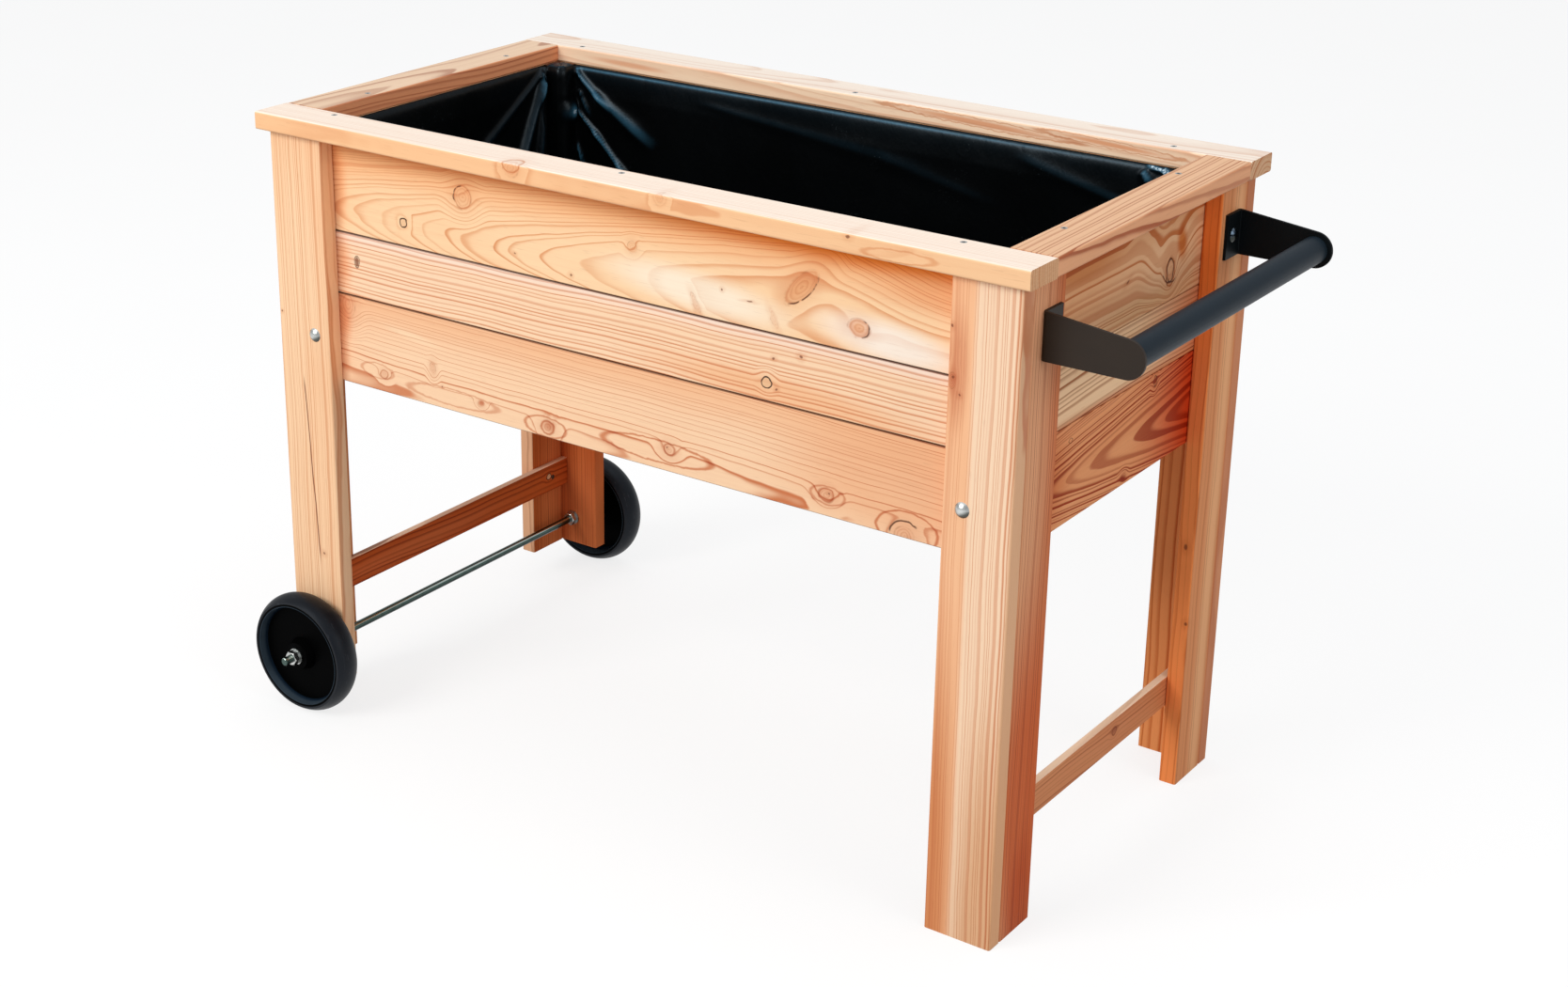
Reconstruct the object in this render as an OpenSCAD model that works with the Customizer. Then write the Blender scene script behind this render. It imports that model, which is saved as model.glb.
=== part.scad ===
// Rolling planter: a waist-high wooden tub on four L-shaped legs.
// The legs at one end stand on two wheels; a tube handle at the other end lifts the feet clear.
// Millimetres, +Z up, the handle toward +X, the front face toward -Y.
// The origin lies on the floor under the middle of the whole outline.

/* [Rim] */
// Length of the rim over its two end rails
rim_len = 1200; // [1000:10:1600]
// Width of the rim over its two long rails
rim_w = 640; // [520:10:800]
// Height of the rim's top face above the floor
rim_top = 882; // [800:5:960]
// Width of each rim board
rail_w = 64; // [58:1:76]
// Thickness of each rim board
rail_t = 25; // [18:1:32]
// How far the rim stands out past the legs
rim_overhang = 13; // [4:1:20]
// Distance from the middle to the outer screws of a long rail
rim_screw_x = 492; // [380:1:520]
// Distance from the middle to the screws of an end rail
rim_screw_y = 150; // [100:1:180]

/* [Legs] */
// Width of the leg board on the front or rear face
leg_face_w = 94; // [84:1:110]
// Width of the leg board behind it, on the end face
leg_side_w = 74; // [60:1:100]
// Thickness of the leg boards
leg_t = 25; // [20:1:30]
// Height of the wheel-end legs above the floor
wheel_leg_lift = 46; // [30:1:58]
// Rounding along the edges of leg and rim boards
edge_r = 3; // [1:0.5:5]

/* [Planks] */
// Height of the lowest plank
low_plank_h = 129; // [110:1:150]
// Height of the middle plank
mid_plank_h = 88; // [80:1:110]
// Height of the top plank
top_plank_h = 133; // [125:1:150]
// Thickness of the planks
plank_t = 25; // [20:1:30]
// Seam between two planks
plank_gap = 1.4; // [0.2:0.1:2]
// Rounding along the edges of planks and floor boards
plank_edge_r = 1; // [0.5:0.5:3]

/* [Posts and floor] */
// Side of the square posts inside the four corners
post_w = 34; // [30:1:44]
// Height of the bearers under the floor boards
bearer_h = 34; // [26:1:44]
// Thickness of the floor boards
floor_t = 18; // [12:1:25]
// Number of floor boards laid across the tub between the posts
floor_count = 10; // [6:1:14]
// Drain gap between floor boards
floor_gap = 6; // [3:1:12]
// Play round the ends of the floor boards
floor_play = 0.5; // [0.3:0.1:2]

/* [Liner] */
// Thickness of the liner film
liner_t = 1; // [0.6:0.1:2]
// Distance from the rim's underside down to the top edge of the film
liner_drop = 1; // [1:1:20]
// Clearance between the film and what backs it
liner_gap = 0.3; // [0.2:0.1:1]

/* [Stretchers] */
// Height of the stretcher battens
stretcher_h = 45; // [30:1:60]
// Thickness of the stretcher battens
stretcher_t = 11; // [8:1:25]
// Height of the wheel-end stretcher above the floor
wheel_stretcher_z = 148; // [115:1:300]
// Height of the handle-end stretcher above the floor
handle_stretcher_z = 115; // [60:1:300]

/* [Wheels and axle] */
// Diameter of the wheels over the crown of the tread
wheel_d = 180; // [160:1:200]
// Width of the tyre
wheel_w = 40; // [34:1:50]
// Drop of the tread from its crown to the edge of the tyre
tread_drop = 8; // [4:0.5:9]
// Thickness of the tyre at its crown
tyre_t = 11; // [10:0.5:16]
// Thickness of the disc's rim at its lip
disc_rim_t = 4; // [3:0.5:8]
// Inward lean of the inside of the disc's rim
disc_draft = 2; // [1:0.5:4]
// Thickness of the web between hub and rim
web_t = 6; // [4:0.5:10]
// Depth of the outer dish, from the lip down to the web
dish_depth = 13; // [6:0.5:18]
// Diameter of the hub at its outer end
hub_tip_d = 40; // [34:1:44]
// Diameter of the hub where it meets the web
hub_root_d = 50; // [46:1:60]
// Gap between the leg and the near side of the tyre
wheel_gap = 10.5; // [6:0.5:20]
// Diameter of the axle rod
axle_d = 12; // [8:1:13]
// Radial running clearance between the hub and the axle
hub_play = 0.08; // [0.03:0.01:0.1]
// Axial play at each end of the hub
hub_end_play = 0.3; // [0.2:0.1:1]
// Length of rod that stands out past the end nut
axle_tail = 13; // [4:1:20]
// Size across flats of the axle nuts
axle_nut_af = 19; // [16:1:21]
// Height of the axle nuts
axle_nut_h = 10; // [6:0.5:12]
// Diameter of the axle washers
axle_washer_d = 24; // [20:1:30]
// Thickness of the axle washers
axle_washer_t = 2; // [1:0.5:3]

/* [Handle] */
// Distance from the leg face to the middle of the handle tube
handle_reach = 106; // [80:1:140]
// Diameter of the handle tube
tube_d = 36; // [25:1:40]
// Wall of the handle tube
tube_wall = 2; // [1.5:0.5:3]
// Thickness of the bracket plate
bracket_t = 4; // [3:0.5:6]
// Height of the bracket at the leg
bracket_h = 60; // [54:1:80]
// Radius of the round end of the bracket
bracket_end_r = 24; // [21:0.5:26]
// Width of the bracket's flange on the leg
flange_w = 42; // [38:1:46]
// Distance from the bracket's outer face to its bolt
flange_bolt_in = 22; // [18:1:24]
// Outer radius of the bend between plate and flange
bend_r = 5; // [5:0.5:8]

/* [Bolts] */
// Diameter of the bolts through legs, planks and posts
bolt_d = 8; // [6:1:8]
// Diameter of the domed bolt head
bolt_head_d = 20; // [16:1:22]
// Height of the domed bolt head
bolt_head_h = 5; // [3:0.5:6]
// Height of the bolts in the front and rear faces above the lower edge of the planks
face_bolt_up = 68; // [55:1:75]
// Depth of the bolts in the end faces below the rim's top face
end_bolt_drop = 94; // [88:1:100]
// Size across flats of the bolt nuts
nut_af = 13; // [12:1:14]
// Height of the bolt nuts
nut_h = 6.5; // [5:0.5:8]
// Diameter of the bolt washers
washer_d = 24; // [16:1:26]
// Thickness of the bolt washers
washer_t = 1.6; // [1:0.2:2.4]
// Length of bolt that stands out past its nut
bolt_tail = 2; // [1:0.5:3]
// Clearance round bolts and the axle in wood
bolt_play = 0.3; // [0.2:0.1:0.6]

/* [Screws] */
// Shank diameter of the wood screws
screw_d = 4.5; // [3.5:0.5:5]
// Head diameter of the wood screws
screw_head_d = 8.5; // [7:0.5:10]
// Height of the countersunk screw head
screw_head_h = 3; // [2.5:0.5:4]
// Length of the screws through the rim into the planks
rim_screw_len = 60; // [45:1:70]
// Length of the screws through the planks into the posts
plank_screw_len = 45; // [38:1:50]
// Length of the screws through the bearers into the planks
bearer_screw_len = 50; // [46:1:52]
// Length of the screws through the stretchers into the legs
stretcher_screw_len = 30; // [24:1:30]
// Height of a plank screw of the long sides from the plank's edge
long_screw_in = 20; // [16:1:22]
// Height of a plank screw of the ends from the plank's edge
end_screw_in = 32; // [30:1:34]
// Distance from the middle to the outer screws of a long bearer
bearer_screw_x = 400; // [200:1:430]
// Distance from the middle to the screws of an end bearer
bearer_screw_y = 120; // [60:1:170]

/* [Hidden] */
$fn = 64;

// Signs of the two sides and the two ends
FRONT = -1;
REAR = 1;
WHEEL_END = -1;
HANDLE_END = 1;
SIDES = [FRONT, REAR];
ENDS = [WHEEL_END, HANDLE_END];
// Rows of planks, from the floor up
LOW = 0;
MID = 1;
TOP = 2;
ROWS = [LOW, MID, TOP];

rim_x = rim_len / 2;
rim_y = rim_w / 2;
rim_under = rim_top - rail_t;
// Outer faces of the legs
leg_x = rim_x - rim_overhang;
leg_y = rim_y - rim_overhang;
// Outer faces of the planks lie on the inner faces of the leg boards
plank_x = leg_x - leg_t;
plank_y = leg_y - leg_t;
// Inner faces of the planks
tub_x = plank_x - plank_t;
tub_y = plank_y - plank_t;
// Inner faces and middles of the corner posts
post_x = tub_x - post_w;
post_y = tub_y - post_w;
post_mid_x = tub_x - post_w / 2;
post_mid_y = tub_y - post_w / 2;

plank_heights = [low_plank_h, mid_plank_h, top_plank_h];
plank_low_z = rim_under - low_plank_h - mid_plank_h - top_plank_h - 2 * plank_gap;
floor_z = plank_low_z + bearer_h;
tub_z = floor_z + floor_t;
face_bolt_z = plank_low_z + face_bolt_up;
end_bolt_z = rim_top - end_bolt_drop;
bearer_screw_z = plank_low_z + bearer_h / 2;

// The axle passes through the middle of the wheel-end face boards, a wheel radius above the floor
wheel_r = wheel_d / 2;
axle_x = -(leg_x - leg_face_w / 2);
axle_z = wheel_r;
tyre_in_y = leg_y + wheel_gap;
tyre_out_y = tyre_in_y + wheel_w;
hub_in_y = leg_y + axle_washer_t + hub_end_play;
hub_out_y = tyre_out_y;
end_washer_y = hub_out_y + hub_end_play;
end_nut_y = end_washer_y + axle_washer_t;
axle_tip_y = end_nut_y + axle_nut_h + axle_tail;

// The bracket's flange is centred on the end bolt in height
bracket_low_z = end_bolt_z - bracket_h / 2;
bracket_y = post_mid_y + flange_bolt_in;
tube_x = leg_x + handle_reach;
tube_z = bracket_low_z + bracket_end_r;

// Washers, nuts and ends of the bolts lie inside the posts, and the film steps in past them
bolt_stack = washer_t + nut_h + bolt_tail;
liner_step = bolt_stack + 3 * liner_gap;
thread_play = 0.05;
stretcher_screw_y = plank_y - leg_side_w / 2;
// The long rails are screwed a little nearer the wheel end than the middle
rim_screw_shift = -7;
rim_screw_xs = [for (i = [-1:1]) i * rim_screw_x + rim_screw_shift];
rim_screw_plank_y = plank_y - plank_t / 2;
rim_screw_plank_x = plank_x - plank_t / 2;

// Middle of the whole outline, from the wheel or rim at one end to the bracket at the other
outline_low_x = min(-rim_x, axle_x - wheel_r);
outline_high_x = max(rim_x, tube_x + bracket_end_r);
outline_mid_x = (outline_low_x + outline_high_x) / 2;

heartwood = [0.86, 0.58, 0.38];
sapwood = [0.93, 0.76, 0.56];
zinc = [0.72, 0.73, 0.72];
black_film = [0.05, 0.05, 0.06];
black_plastic = [0.09, 0.09, 0.10];
black_rubber = [0.13, 0.13, 0.14];
slate_paint = [0.16, 0.18, 0.20];

// Height of the lower edge of a plank in the given row
function plank_z(row) = plank_low_z
    + (row > LOW ? low_plank_h + plank_gap : 0)
    + (row > MID ? mid_plank_h + plank_gap : 0);

// The two heights at which a row's end is screwed, a given distance from its edges
function screw_heights(row, inset) = [plank_z(row) + inset, plank_z(row) + plank_heights[row] - inset];

// Puts the planter's own middle so that the origin lies under the middle of its outline
module placed() {
    translate([-outline_mid_x, 0, 0]) children();
}

// Rectangle from the origin with its four corners rounded
module rounded_section(size, r) {
    translate([r, 0]) square([size[0] - 2 * r, size[1]]);
    translate([0, r]) square([size[0], size[1] - 2 * r]);
    for (x = [r, size[0] - r], y = [r, size[1] - r])
        translate([x, y]) circle(r);
}

// Boards with eased long edges, from their lowest corner, along X, Y or Z
module board_x(size, r) {
    translate([size[0], 0, 0]) rotate([0, -90, 0]) linear_extrude(size[0])
        rounded_section([size[2], size[1]], r);
}

module board_y(size, r) {
    translate([0, size[1], 0]) rotate([90, 0, 0]) linear_extrude(size[1])
        rounded_section([size[0], size[2]], r);
}

module board_z(size, r) {
    linear_extrude(size[2]) rounded_section([size[0], size[1]], r);
}

// Turns something that points down along -Z so that it points to -X, +X, -Y or +Y
module toward_x(way) {
    rotate([0, -90 * way, 0]) children();
}

module toward_y(way) {
    rotate([90 * way, 0, 0]) children();
}

// Countersunk wood screw, its head at the origin and its point down; extra opens it to its own hole
module wood_screw(len, extra = 0) {
    shank_r = screw_d / 2 + extra;
    head_r = screw_head_d / 2 + extra;
    translate([0, 0, -screw_head_h]) cylinder(h = screw_head_h, r1 = shank_r, r2 = head_r);
    translate([0, 0, screw_d - len]) cylinder(h = len - screw_d - screw_head_h / 2, r = shank_r);
    translate([0, 0, -len]) cylinder(h = screw_d, r1 = screw_d / 8, r2 = shank_r);
}

// The same screw with a six-pointed star recess in its head, for those whose heads can be seen
module star_screw(len) {
    star_r = screw_head_d * 0.22;
    star_depth = screw_head_h * 0.55;
    difference() {
        wood_screw(len);
        for (turn = [0, 60, 120])
            rotate([0, 0, turn]) translate([-star_r, -star_r / 3, -star_depth])
                cube([2 * star_r, 2 * star_r / 3, star_depth + 1]);
        translate([0, 0, -star_depth]) cylinder(h = star_depth + 1, r = 0.72 * star_r);
    }
}

module screw_hole(len) {
    wood_screw(len + thread_play, thread_play);
    cylinder(h = 1, r = screw_head_d / 2 + thread_play);
}

// Every screw of a kind, or its hole: what is passed in is drawn at each place
module at_rim_screws() {
    for (side = SIDES, x = rim_screw_xs)
        translate([x, side * rim_screw_plank_y, rim_top]) children();
    for (end = ENDS, side = SIDES)
        translate([end * rim_screw_plank_x, side * rim_screw_y, rim_top]) children();
}

module at_long_plank_screws(side, row) {
    for (end = ENDS, z = screw_heights(row, long_screw_in))
        translate([end * post_mid_x, side * plank_y, z]) toward_y(-side) children();
}

module at_end_plank_screws(end, row) {
    for (side = SIDES, z = screw_heights(row, end_screw_in))
        translate([end * plank_x, side * post_mid_y, z]) toward_x(-end) children();
}

module at_bearer_screws() {
    for (side = SIDES, i = [-1:1])
        translate([i * bearer_screw_x, side * post_y, bearer_screw_z]) toward_y(side) children();
    for (end = ENDS, side = SIDES)
        translate([end * post_x, side * bearer_screw_y, bearer_screw_z]) toward_x(end) children();
}

module at_stretcher_screws(end) {
    z = (end == WHEEL_END ? wheel_stretcher_z : handle_stretcher_z) + stretcher_h / 2;
    for (side = SIDES)
        translate([end * (plank_x - stretcher_t), side * stretcher_screw_y, z])
            toward_x(end) children();
}

// Bolts come in from outside; what is passed in points down along -Z from the leg's outer face
module at_face_bolts() {
    for (end = ENDS, side = SIDES)
        translate([end * post_mid_x, side * leg_y, face_bolt_z]) toward_y(-side) children();
}

module at_end_bolts(end) {
    for (side = SIDES)
        translate([end * leg_x, side * post_mid_y, end_bolt_z]) toward_x(-end) children();
}

module all_plank_screw_holes() {
    for (row = ROWS) {
        for (side = SIDES) at_long_plank_screws(side, row) screw_hole(plank_screw_len);
        for (end = ENDS) at_end_plank_screws(end, row) screw_hole(plank_screw_len);
    }
}

// Wood that a bolt passes through, from the leg's outer face to the post's inner face
bolt_grip = leg_t + plank_t + post_w;

module bolt_hole() {
    translate([0, 0, -bolt_grip - 1]) cylinder(h = bolt_grip + 2, r = bolt_d / 2 + bolt_play);
}

// Rim: the long rails run the full length and the end rails sit between them
module long_rail(side) {
    color(sapwood) placed() difference() {
        translate([-rim_x, side == FRONT ? -rim_y : rim_y - rail_w, rim_under])
            board_x([rim_len, rail_w, rail_t], edge_r);
        at_rim_screws() screw_hole(rim_screw_len);
    }
}

module end_rail(end) {
    color(sapwood) placed() difference() {
        translate([end == WHEEL_END ? -rim_x : rim_x - rail_w, rail_w - rim_y, rim_under])
            board_y([rail_w, rim_w - 2 * rail_w, rail_t], edge_r);
        at_rim_screws() screw_hole(rim_screw_len);
    }
}

function leg_foot(end) = end == WHEEL_END ? wheel_leg_lift : 0;

// Leg board on the front or rear face, with the bolt's hole and, at the wheel end, the axle's
module leg_face(end, side) {
    color(heartwood) placed() difference() {
        translate([
            end == WHEEL_END ? -leg_x : leg_x - leg_face_w,
            side == FRONT ? -leg_y : plank_y,
            leg_foot(end)
        ]) board_z([leg_face_w, leg_t, rim_under - leg_foot(end)], edge_r);
        at_face_bolts() bolt_hole();
        translate([axle_x, 0, axle_z]) rotate([90, 0, 0])
            cylinder(h = 2 * axle_tip_y, r = axle_d / 2 + bolt_play, center = true);
    }
}

// Leg board on the end face, butted behind the face board
module leg_side(end, side) {
    color(heartwood) placed() difference() {
        translate([
            end == WHEEL_END ? -leg_x : plank_x,
            side == FRONT ? -plank_y : plank_y - leg_side_w,
            leg_foot(end)
        ]) board_z([leg_t, leg_side_w, rim_under - leg_foot(end)], edge_r);
        at_end_bolts(end) bolt_hole();
        at_stretcher_screws(end) screw_hole(stretcher_screw_len);
    }
}

// Long planks run between the leg side boards; the end planks sit between the long planks
module long_plank(side, row) {
    color(heartwood) placed() difference() {
        translate([-plank_x, side == FRONT ? -plank_y : tub_y, plank_z(row)])
            board_x([2 * plank_x, plank_t, plank_heights[row]], plank_edge_r);
        at_long_plank_screws(side, row) screw_hole(plank_screw_len);
        if (row == TOP) at_rim_screws() screw_hole(rim_screw_len);
        if (row == LOW) at_bearer_screws() screw_hole(bearer_screw_len);
        at_face_bolts() bolt_hole();
    }
}

module end_plank(end, row) {
    color(heartwood) placed() difference() {
        translate([end == WHEEL_END ? -plank_x : tub_x, -tub_y, plank_z(row)])
            board_y([plank_t, 2 * tub_y, plank_heights[row]], plank_edge_r);
        at_end_plank_screws(end, row) screw_hole(plank_screw_len);
        if (row == TOP) at_rim_screws() screw_hole(rim_screw_len);
        if (row == LOW) at_bearer_screws() screw_hole(bearer_screw_len);
        at_end_bolts(end) bolt_hole();
    }
}

// Square post in each inner corner, which ties planks and leg together
module corner_post(end, side) {
    color(sapwood) placed() difference() {
        translate([
            end == WHEEL_END ? -tub_x : post_x,
            side == FRONT ? -tub_y : post_y,
            plank_low_z
        ]) cube([post_w, post_w, rim_under - plank_low_z]);
        all_plank_screw_holes();
        at_face_bolts() bolt_hole();
        at_end_bolts(end) bolt_hole();
    }
}

// Bearers screwed to the planks between the posts
module long_bearer(side) {
    color(sapwood) placed() difference() {
        translate([-post_x, side == FRONT ? -tub_y : post_y, plank_low_z])
            cube([2 * post_x, post_w, bearer_h]);
        at_bearer_screws() screw_hole(bearer_screw_len);
    }
}

module end_bearer(end) {
    color(sapwood) placed() difference() {
        translate([end == WHEEL_END ? -tub_x : post_x, -post_y, plank_low_z])
            cube([post_w, 2 * post_y, bearer_h]);
        at_bearer_screws() screw_hole(bearer_screw_len);
    }
}

// Floor boards laid across the tub, with a short one between the posts at each end
module floor_boards() {
    field_len = 2 * post_x;
    pitch = (field_len + floor_gap) / floor_count;
    color(sapwood) placed() {
        for (i = [0:floor_count - 1])
            translate([i * pitch - post_x, floor_play - tub_y, floor_z])
                board_y([pitch - floor_gap, 2 * (tub_y - floor_play), floor_t], plank_edge_r);
        for (end = ENDS)
            translate([
                end == WHEEL_END ? floor_play - tub_x : post_x + floor_gap,
                floor_play - post_y,
                floor_z
            ]) board_y([
                post_w - floor_gap - floor_play,
                2 * (post_y - floor_play),
                floor_t
            ], plank_edge_r);
    }
}

// Outline of the film round the tub, stepped in at the corners past the posts and their nuts
module liner_section(inset) {
    step_x = 2 * (post_x - liner_step - inset);
    step_y = 2 * (post_y - liner_step - inset);
    square([2 * (tub_x - liner_gap - inset), step_y], center = true);
    square([step_x, 2 * (tub_y - liner_gap - inset)], center = true);
}

module liner() {
    base_z = tub_z + liner_gap;
    liner_h = rim_under - liner_drop - base_z;
    color(black_film) placed() translate([0, 0, base_z]) difference() {
        linear_extrude(liner_h) liner_section(0);
        translate([0, 0, liner_t]) linear_extrude(liner_h) liner_section(liner_t);
    }
}

// Thin batten across each end, screwed to the inner faces of the leg side boards
module stretcher(end) {
    z = end == WHEEL_END ? wheel_stretcher_z : handle_stretcher_z;
    color(heartwood) placed() difference() {
        translate([end == WHEEL_END ? -plank_x : plank_x - stretcher_t, -plank_y, z])
            board_y([stretcher_t, 2 * plank_y, stretcher_h], plank_edge_r);
        at_stretcher_screws(end) screw_hole(stretcher_screw_len);
    }
}

// Axle: one plain rod through both wheel-end legs and both wheels, chamfered at its tips
module axle_rod() {
    chamfer = 1;
    color(zinc) placed() translate([axle_x, 0, axle_z]) rotate([90, 0, 0]) {
        cylinder(h = 2 * (axle_tip_y - chamfer), r = axle_d / 2, center = true);
        for (turn = [0, 180]) rotate([turn, 0, 0]) translate([0, 0, axle_tip_y - chamfer])
            cylinder(h = chamfer, r1 = axle_d / 2, r2 = axle_d / 2 - chamfer);
    }
}

// Draws a ring-shaped child on the axle with its near face at the given distance from the middle
module on_axle(y) {
    for (side = SIDES)
        placed() translate([axle_x, side * y, axle_z]) rotate([-90 * side, 0, 0]) children();
}

// Hexagon nut with its corners turned off at 30 degrees on both faces
module hex_nut(af, height, bore_d) {
    face_r = 0.475 * af;
    wide_r = face_r + height * sqrt(3);
    difference() {
        intersection() {
            cylinder(h = height, r = af / sqrt(3), $fn = 6);
            cylinder(h = height, r1 = face_r, r2 = wide_r);
            cylinder(h = height, r1 = wide_r, r2 = face_r);
        }
        translate([0, 0, -1]) cylinder(h = height + 2, r = bore_d / 2 + thread_play);
    }
}

module washer(outer_d, thick, bore_d) {
    difference() {
        cylinder(h = thick, r = outer_d / 2);
        translate([0, 0, -1]) cylinder(h = thick + 2, r = bore_d / 2 + thread_play);
    }
}

module axle_nuts() {
    color(zinc) {
        on_axle(plank_y - axle_washer_t - axle_nut_h) hex_nut(axle_nut_af, axle_nut_h, axle_d);
        on_axle(end_nut_y) hex_nut(axle_nut_af, axle_nut_h, axle_d);
    }
}

module axle_washers() {
    color(zinc) {
        on_axle(plank_y - axle_washer_t) washer(axle_washer_d, axle_washer_t, axle_d);
        on_axle(leg_y) washer(axle_washer_d, axle_washer_t, axle_d);
        on_axle(end_washer_y) washer(axle_washer_d, axle_washer_t, axle_d);
    }
}

// Draws a wheel section, given as radius and distance outward from the tyre's near side, as a solid
module wheel_turned(side) {
    placed() translate([axle_x, side * tyre_in_y, axle_z]) rotate([-90 * side, 0, 0])
        rotate_extrude($fn = 96) children();
}

tyre_seat_r = wheel_r - tyre_t;

// Dished disc: a lipped rim, a flat web and a hub that tapers toward both its ends
module wheel_disc(side) {
    bore_r = axle_d / 2 + hub_play;
    lip_r = tyre_seat_r - disc_rim_t;
    dish_r = lip_r - disc_draft;
    web_out = wheel_w - dish_depth;
    web_in = web_out - web_t;
    color(black_plastic) wheel_turned(side) polygon([
        [bore_r, hub_in_y - tyre_in_y], [hub_tip_d / 2, hub_in_y - tyre_in_y],
        [hub_root_d / 2, web_in], [dish_r, web_in], [lip_r, 0], [tyre_seat_r, 0],
        [tyre_seat_r, wheel_w], [lip_r, wheel_w], [dish_r, web_out],
        [hub_root_d / 2, web_out], [hub_tip_d / 2, wheel_w], [bore_r, wheel_w]
    ]);
}

// Tyre: a crowned tread, cut from a circle that passes through the crown and both edges
module wheel_tyre(side) {
    crown_r = (pow(wheel_w / 2, 2) + pow(tread_drop, 2)) / (2 * tread_drop);
    color(black_rubber) wheel_turned(side) intersection() {
        translate([tyre_seat_r, 0]) square([tyre_t, wheel_w]);
        translate([wheel_r - crown_r, wheel_w / 2]) circle(crown_r, $fn = 160);
    }
}

// Handle tube, welded between the two bracket plates
module handle_tube() {
    tube_len = 2 * (bracket_y - bracket_t);
    color(slate_paint) placed() translate([tube_x, 0, tube_z]) rotate([90, 0, 0])
        difference() {
            cylinder(h = tube_len, r = tube_d / 2, center = true);
            cylinder(h = tube_len + 2, r = tube_d / 2 - tube_wall, center = true);
        }
}

// Side view of the bracket: a straight lower edge, a round end about the tube, and an upper edge
// that runs from the flange's top corner to touch the round end
module bracket_profile() {
    corner_to_end = [handle_reach, bracket_end_r - bracket_h];
    span = norm(corner_to_end);
    lean = atan2(corner_to_end[1], corner_to_end[0]);
    touch = lean + asin(bracket_end_r / span) + 90;
    polygon([
        [0, 0], [handle_reach, 0], [handle_reach, bracket_end_r],
        [handle_reach + bracket_end_r * cos(touch), bracket_end_r + bracket_end_r * sin(touch)],
        [0, bracket_h]
    ]);
    translate([handle_reach, bracket_end_r]) circle(bracket_end_r, $fn = 96);
}

// Plan view of the bracket: the plate and its flange, bent from one strip
module bracket_plan() {
    reach = handle_reach + bracket_end_r;
    inner_r = bend_r - bracket_t;
    difference() {
        union() {
            translate([0, bend_r]) square([bracket_t, flange_w - bend_r]);
            translate([bend_r, 0]) square([reach - bend_r, bracket_t]);
            translate([bend_r, bend_r]) circle(bend_r);
        }
        translate([bend_r, bend_r]) circle(inner_r);
        translate([bracket_t, bend_r]) square([reach, flange_w]);
        translate([bend_r, bracket_t]) square([reach, flange_w]);
    }
}

module handle_bracket(side) {
    color(slate_paint) placed() difference() {
        translate([leg_x, side * bracket_y, bracket_low_z]) mirror([0, side == REAR ? 1 : 0, 0])
            intersection() {
                linear_extrude(bracket_h) bracket_plan();
                translate([0, flange_w, 0]) rotate([90, 0, 0]) linear_extrude(flange_w)
                    bracket_profile();
            }
        at_end_bolts(HANDLE_END) translate([0, 0, -1])
            cylinder(h = bracket_t + 2, r = bolt_d / 2 + bolt_play);
    }
}

// Domed bolt with its head seated a given height above the leg; grip adds to its length
module domed_bolt(seat) {
    dome_r = (pow(bolt_head_d / 2, 2) + pow(bolt_head_h, 2)) / (2 * bolt_head_h);
    shank_end = bolt_grip + bolt_stack;
    translate([0, 0, -shank_end]) cylinder(h = shank_end + seat, r = bolt_d / 2);
    translate([0, 0, seat]) rotate_extrude() intersection() {
        square([bolt_head_d / 2, bolt_head_h]);
        translate([0, bolt_head_h - dome_r]) circle(dome_r, $fn = 160);
    }
}

module face_bolts() {
    color(zinc) placed() at_face_bolts() domed_bolt(0);
}

module wheel_end_bolts() {
    color(zinc) placed() at_end_bolts(WHEEL_END) domed_bolt(0);
}

module handle_bolts() {
    color(zinc) placed() at_end_bolts(HANDLE_END) domed_bolt(bracket_t);
}

module at_all_bolts() {
    at_face_bolts() children();
    for (end = ENDS) at_end_bolts(end) children();
}

module bolt_washers() {
    color(zinc) placed() at_all_bolts() translate([0, 0, -bolt_grip - washer_t])
        washer(washer_d, washer_t, bolt_d);
}

module bolt_nuts() {
    color(zinc) placed() at_all_bolts() translate([0, 0, -bolt_grip - washer_t - nut_h])
        hex_nut(nut_af, nut_h, bolt_d);
}

module rim_screws() {
    color(zinc) placed() at_rim_screws() star_screw(rim_screw_len);
}

module plank_screws() {
    color(zinc) placed() for (row = ROWS) {
        for (side = SIDES) at_long_plank_screws(side, row) wood_screw(plank_screw_len);
        for (end = ENDS) at_end_plank_screws(end, row) wood_screw(plank_screw_len);
    }
}

module bearer_screws() {
    color(zinc) placed() at_bearer_screws() star_screw(bearer_screw_len);
}

module stretcher_screws() {
    color(zinc) placed() for (end = ENDS)
        at_stretcher_screws(end) star_screw(stretcher_screw_len);
}

long_rail(FRONT);  // front_rail
long_rail(REAR);  // rear_rail
end_rail(WHEEL_END);  // wheel_end_rail
end_rail(HANDLE_END);  // handle_end_rail
leg_face(WHEEL_END, FRONT);  // front_wheel_leg_face
leg_side(WHEEL_END, FRONT);  // front_wheel_leg_side
leg_face(WHEEL_END, REAR);  // rear_wheel_leg_face
leg_side(WHEEL_END, REAR);  // rear_wheel_leg_side
leg_face(HANDLE_END, FRONT);  // front_handle_leg_face
leg_side(HANDLE_END, FRONT);  // front_handle_leg_side
leg_face(HANDLE_END, REAR);  // rear_handle_leg_face
leg_side(HANDLE_END, REAR);  // rear_handle_leg_side
long_plank(FRONT, LOW);  // front_plank_low
long_plank(FRONT, MID);  // front_plank_mid
long_plank(FRONT, TOP);  // front_plank_top
long_plank(REAR, LOW);  // rear_plank_low
long_plank(REAR, MID);  // rear_plank_mid
long_plank(REAR, TOP);  // rear_plank_top
end_plank(WHEEL_END, LOW);  // wheel_end_plank_low
end_plank(WHEEL_END, MID);  // wheel_end_plank_mid
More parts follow.
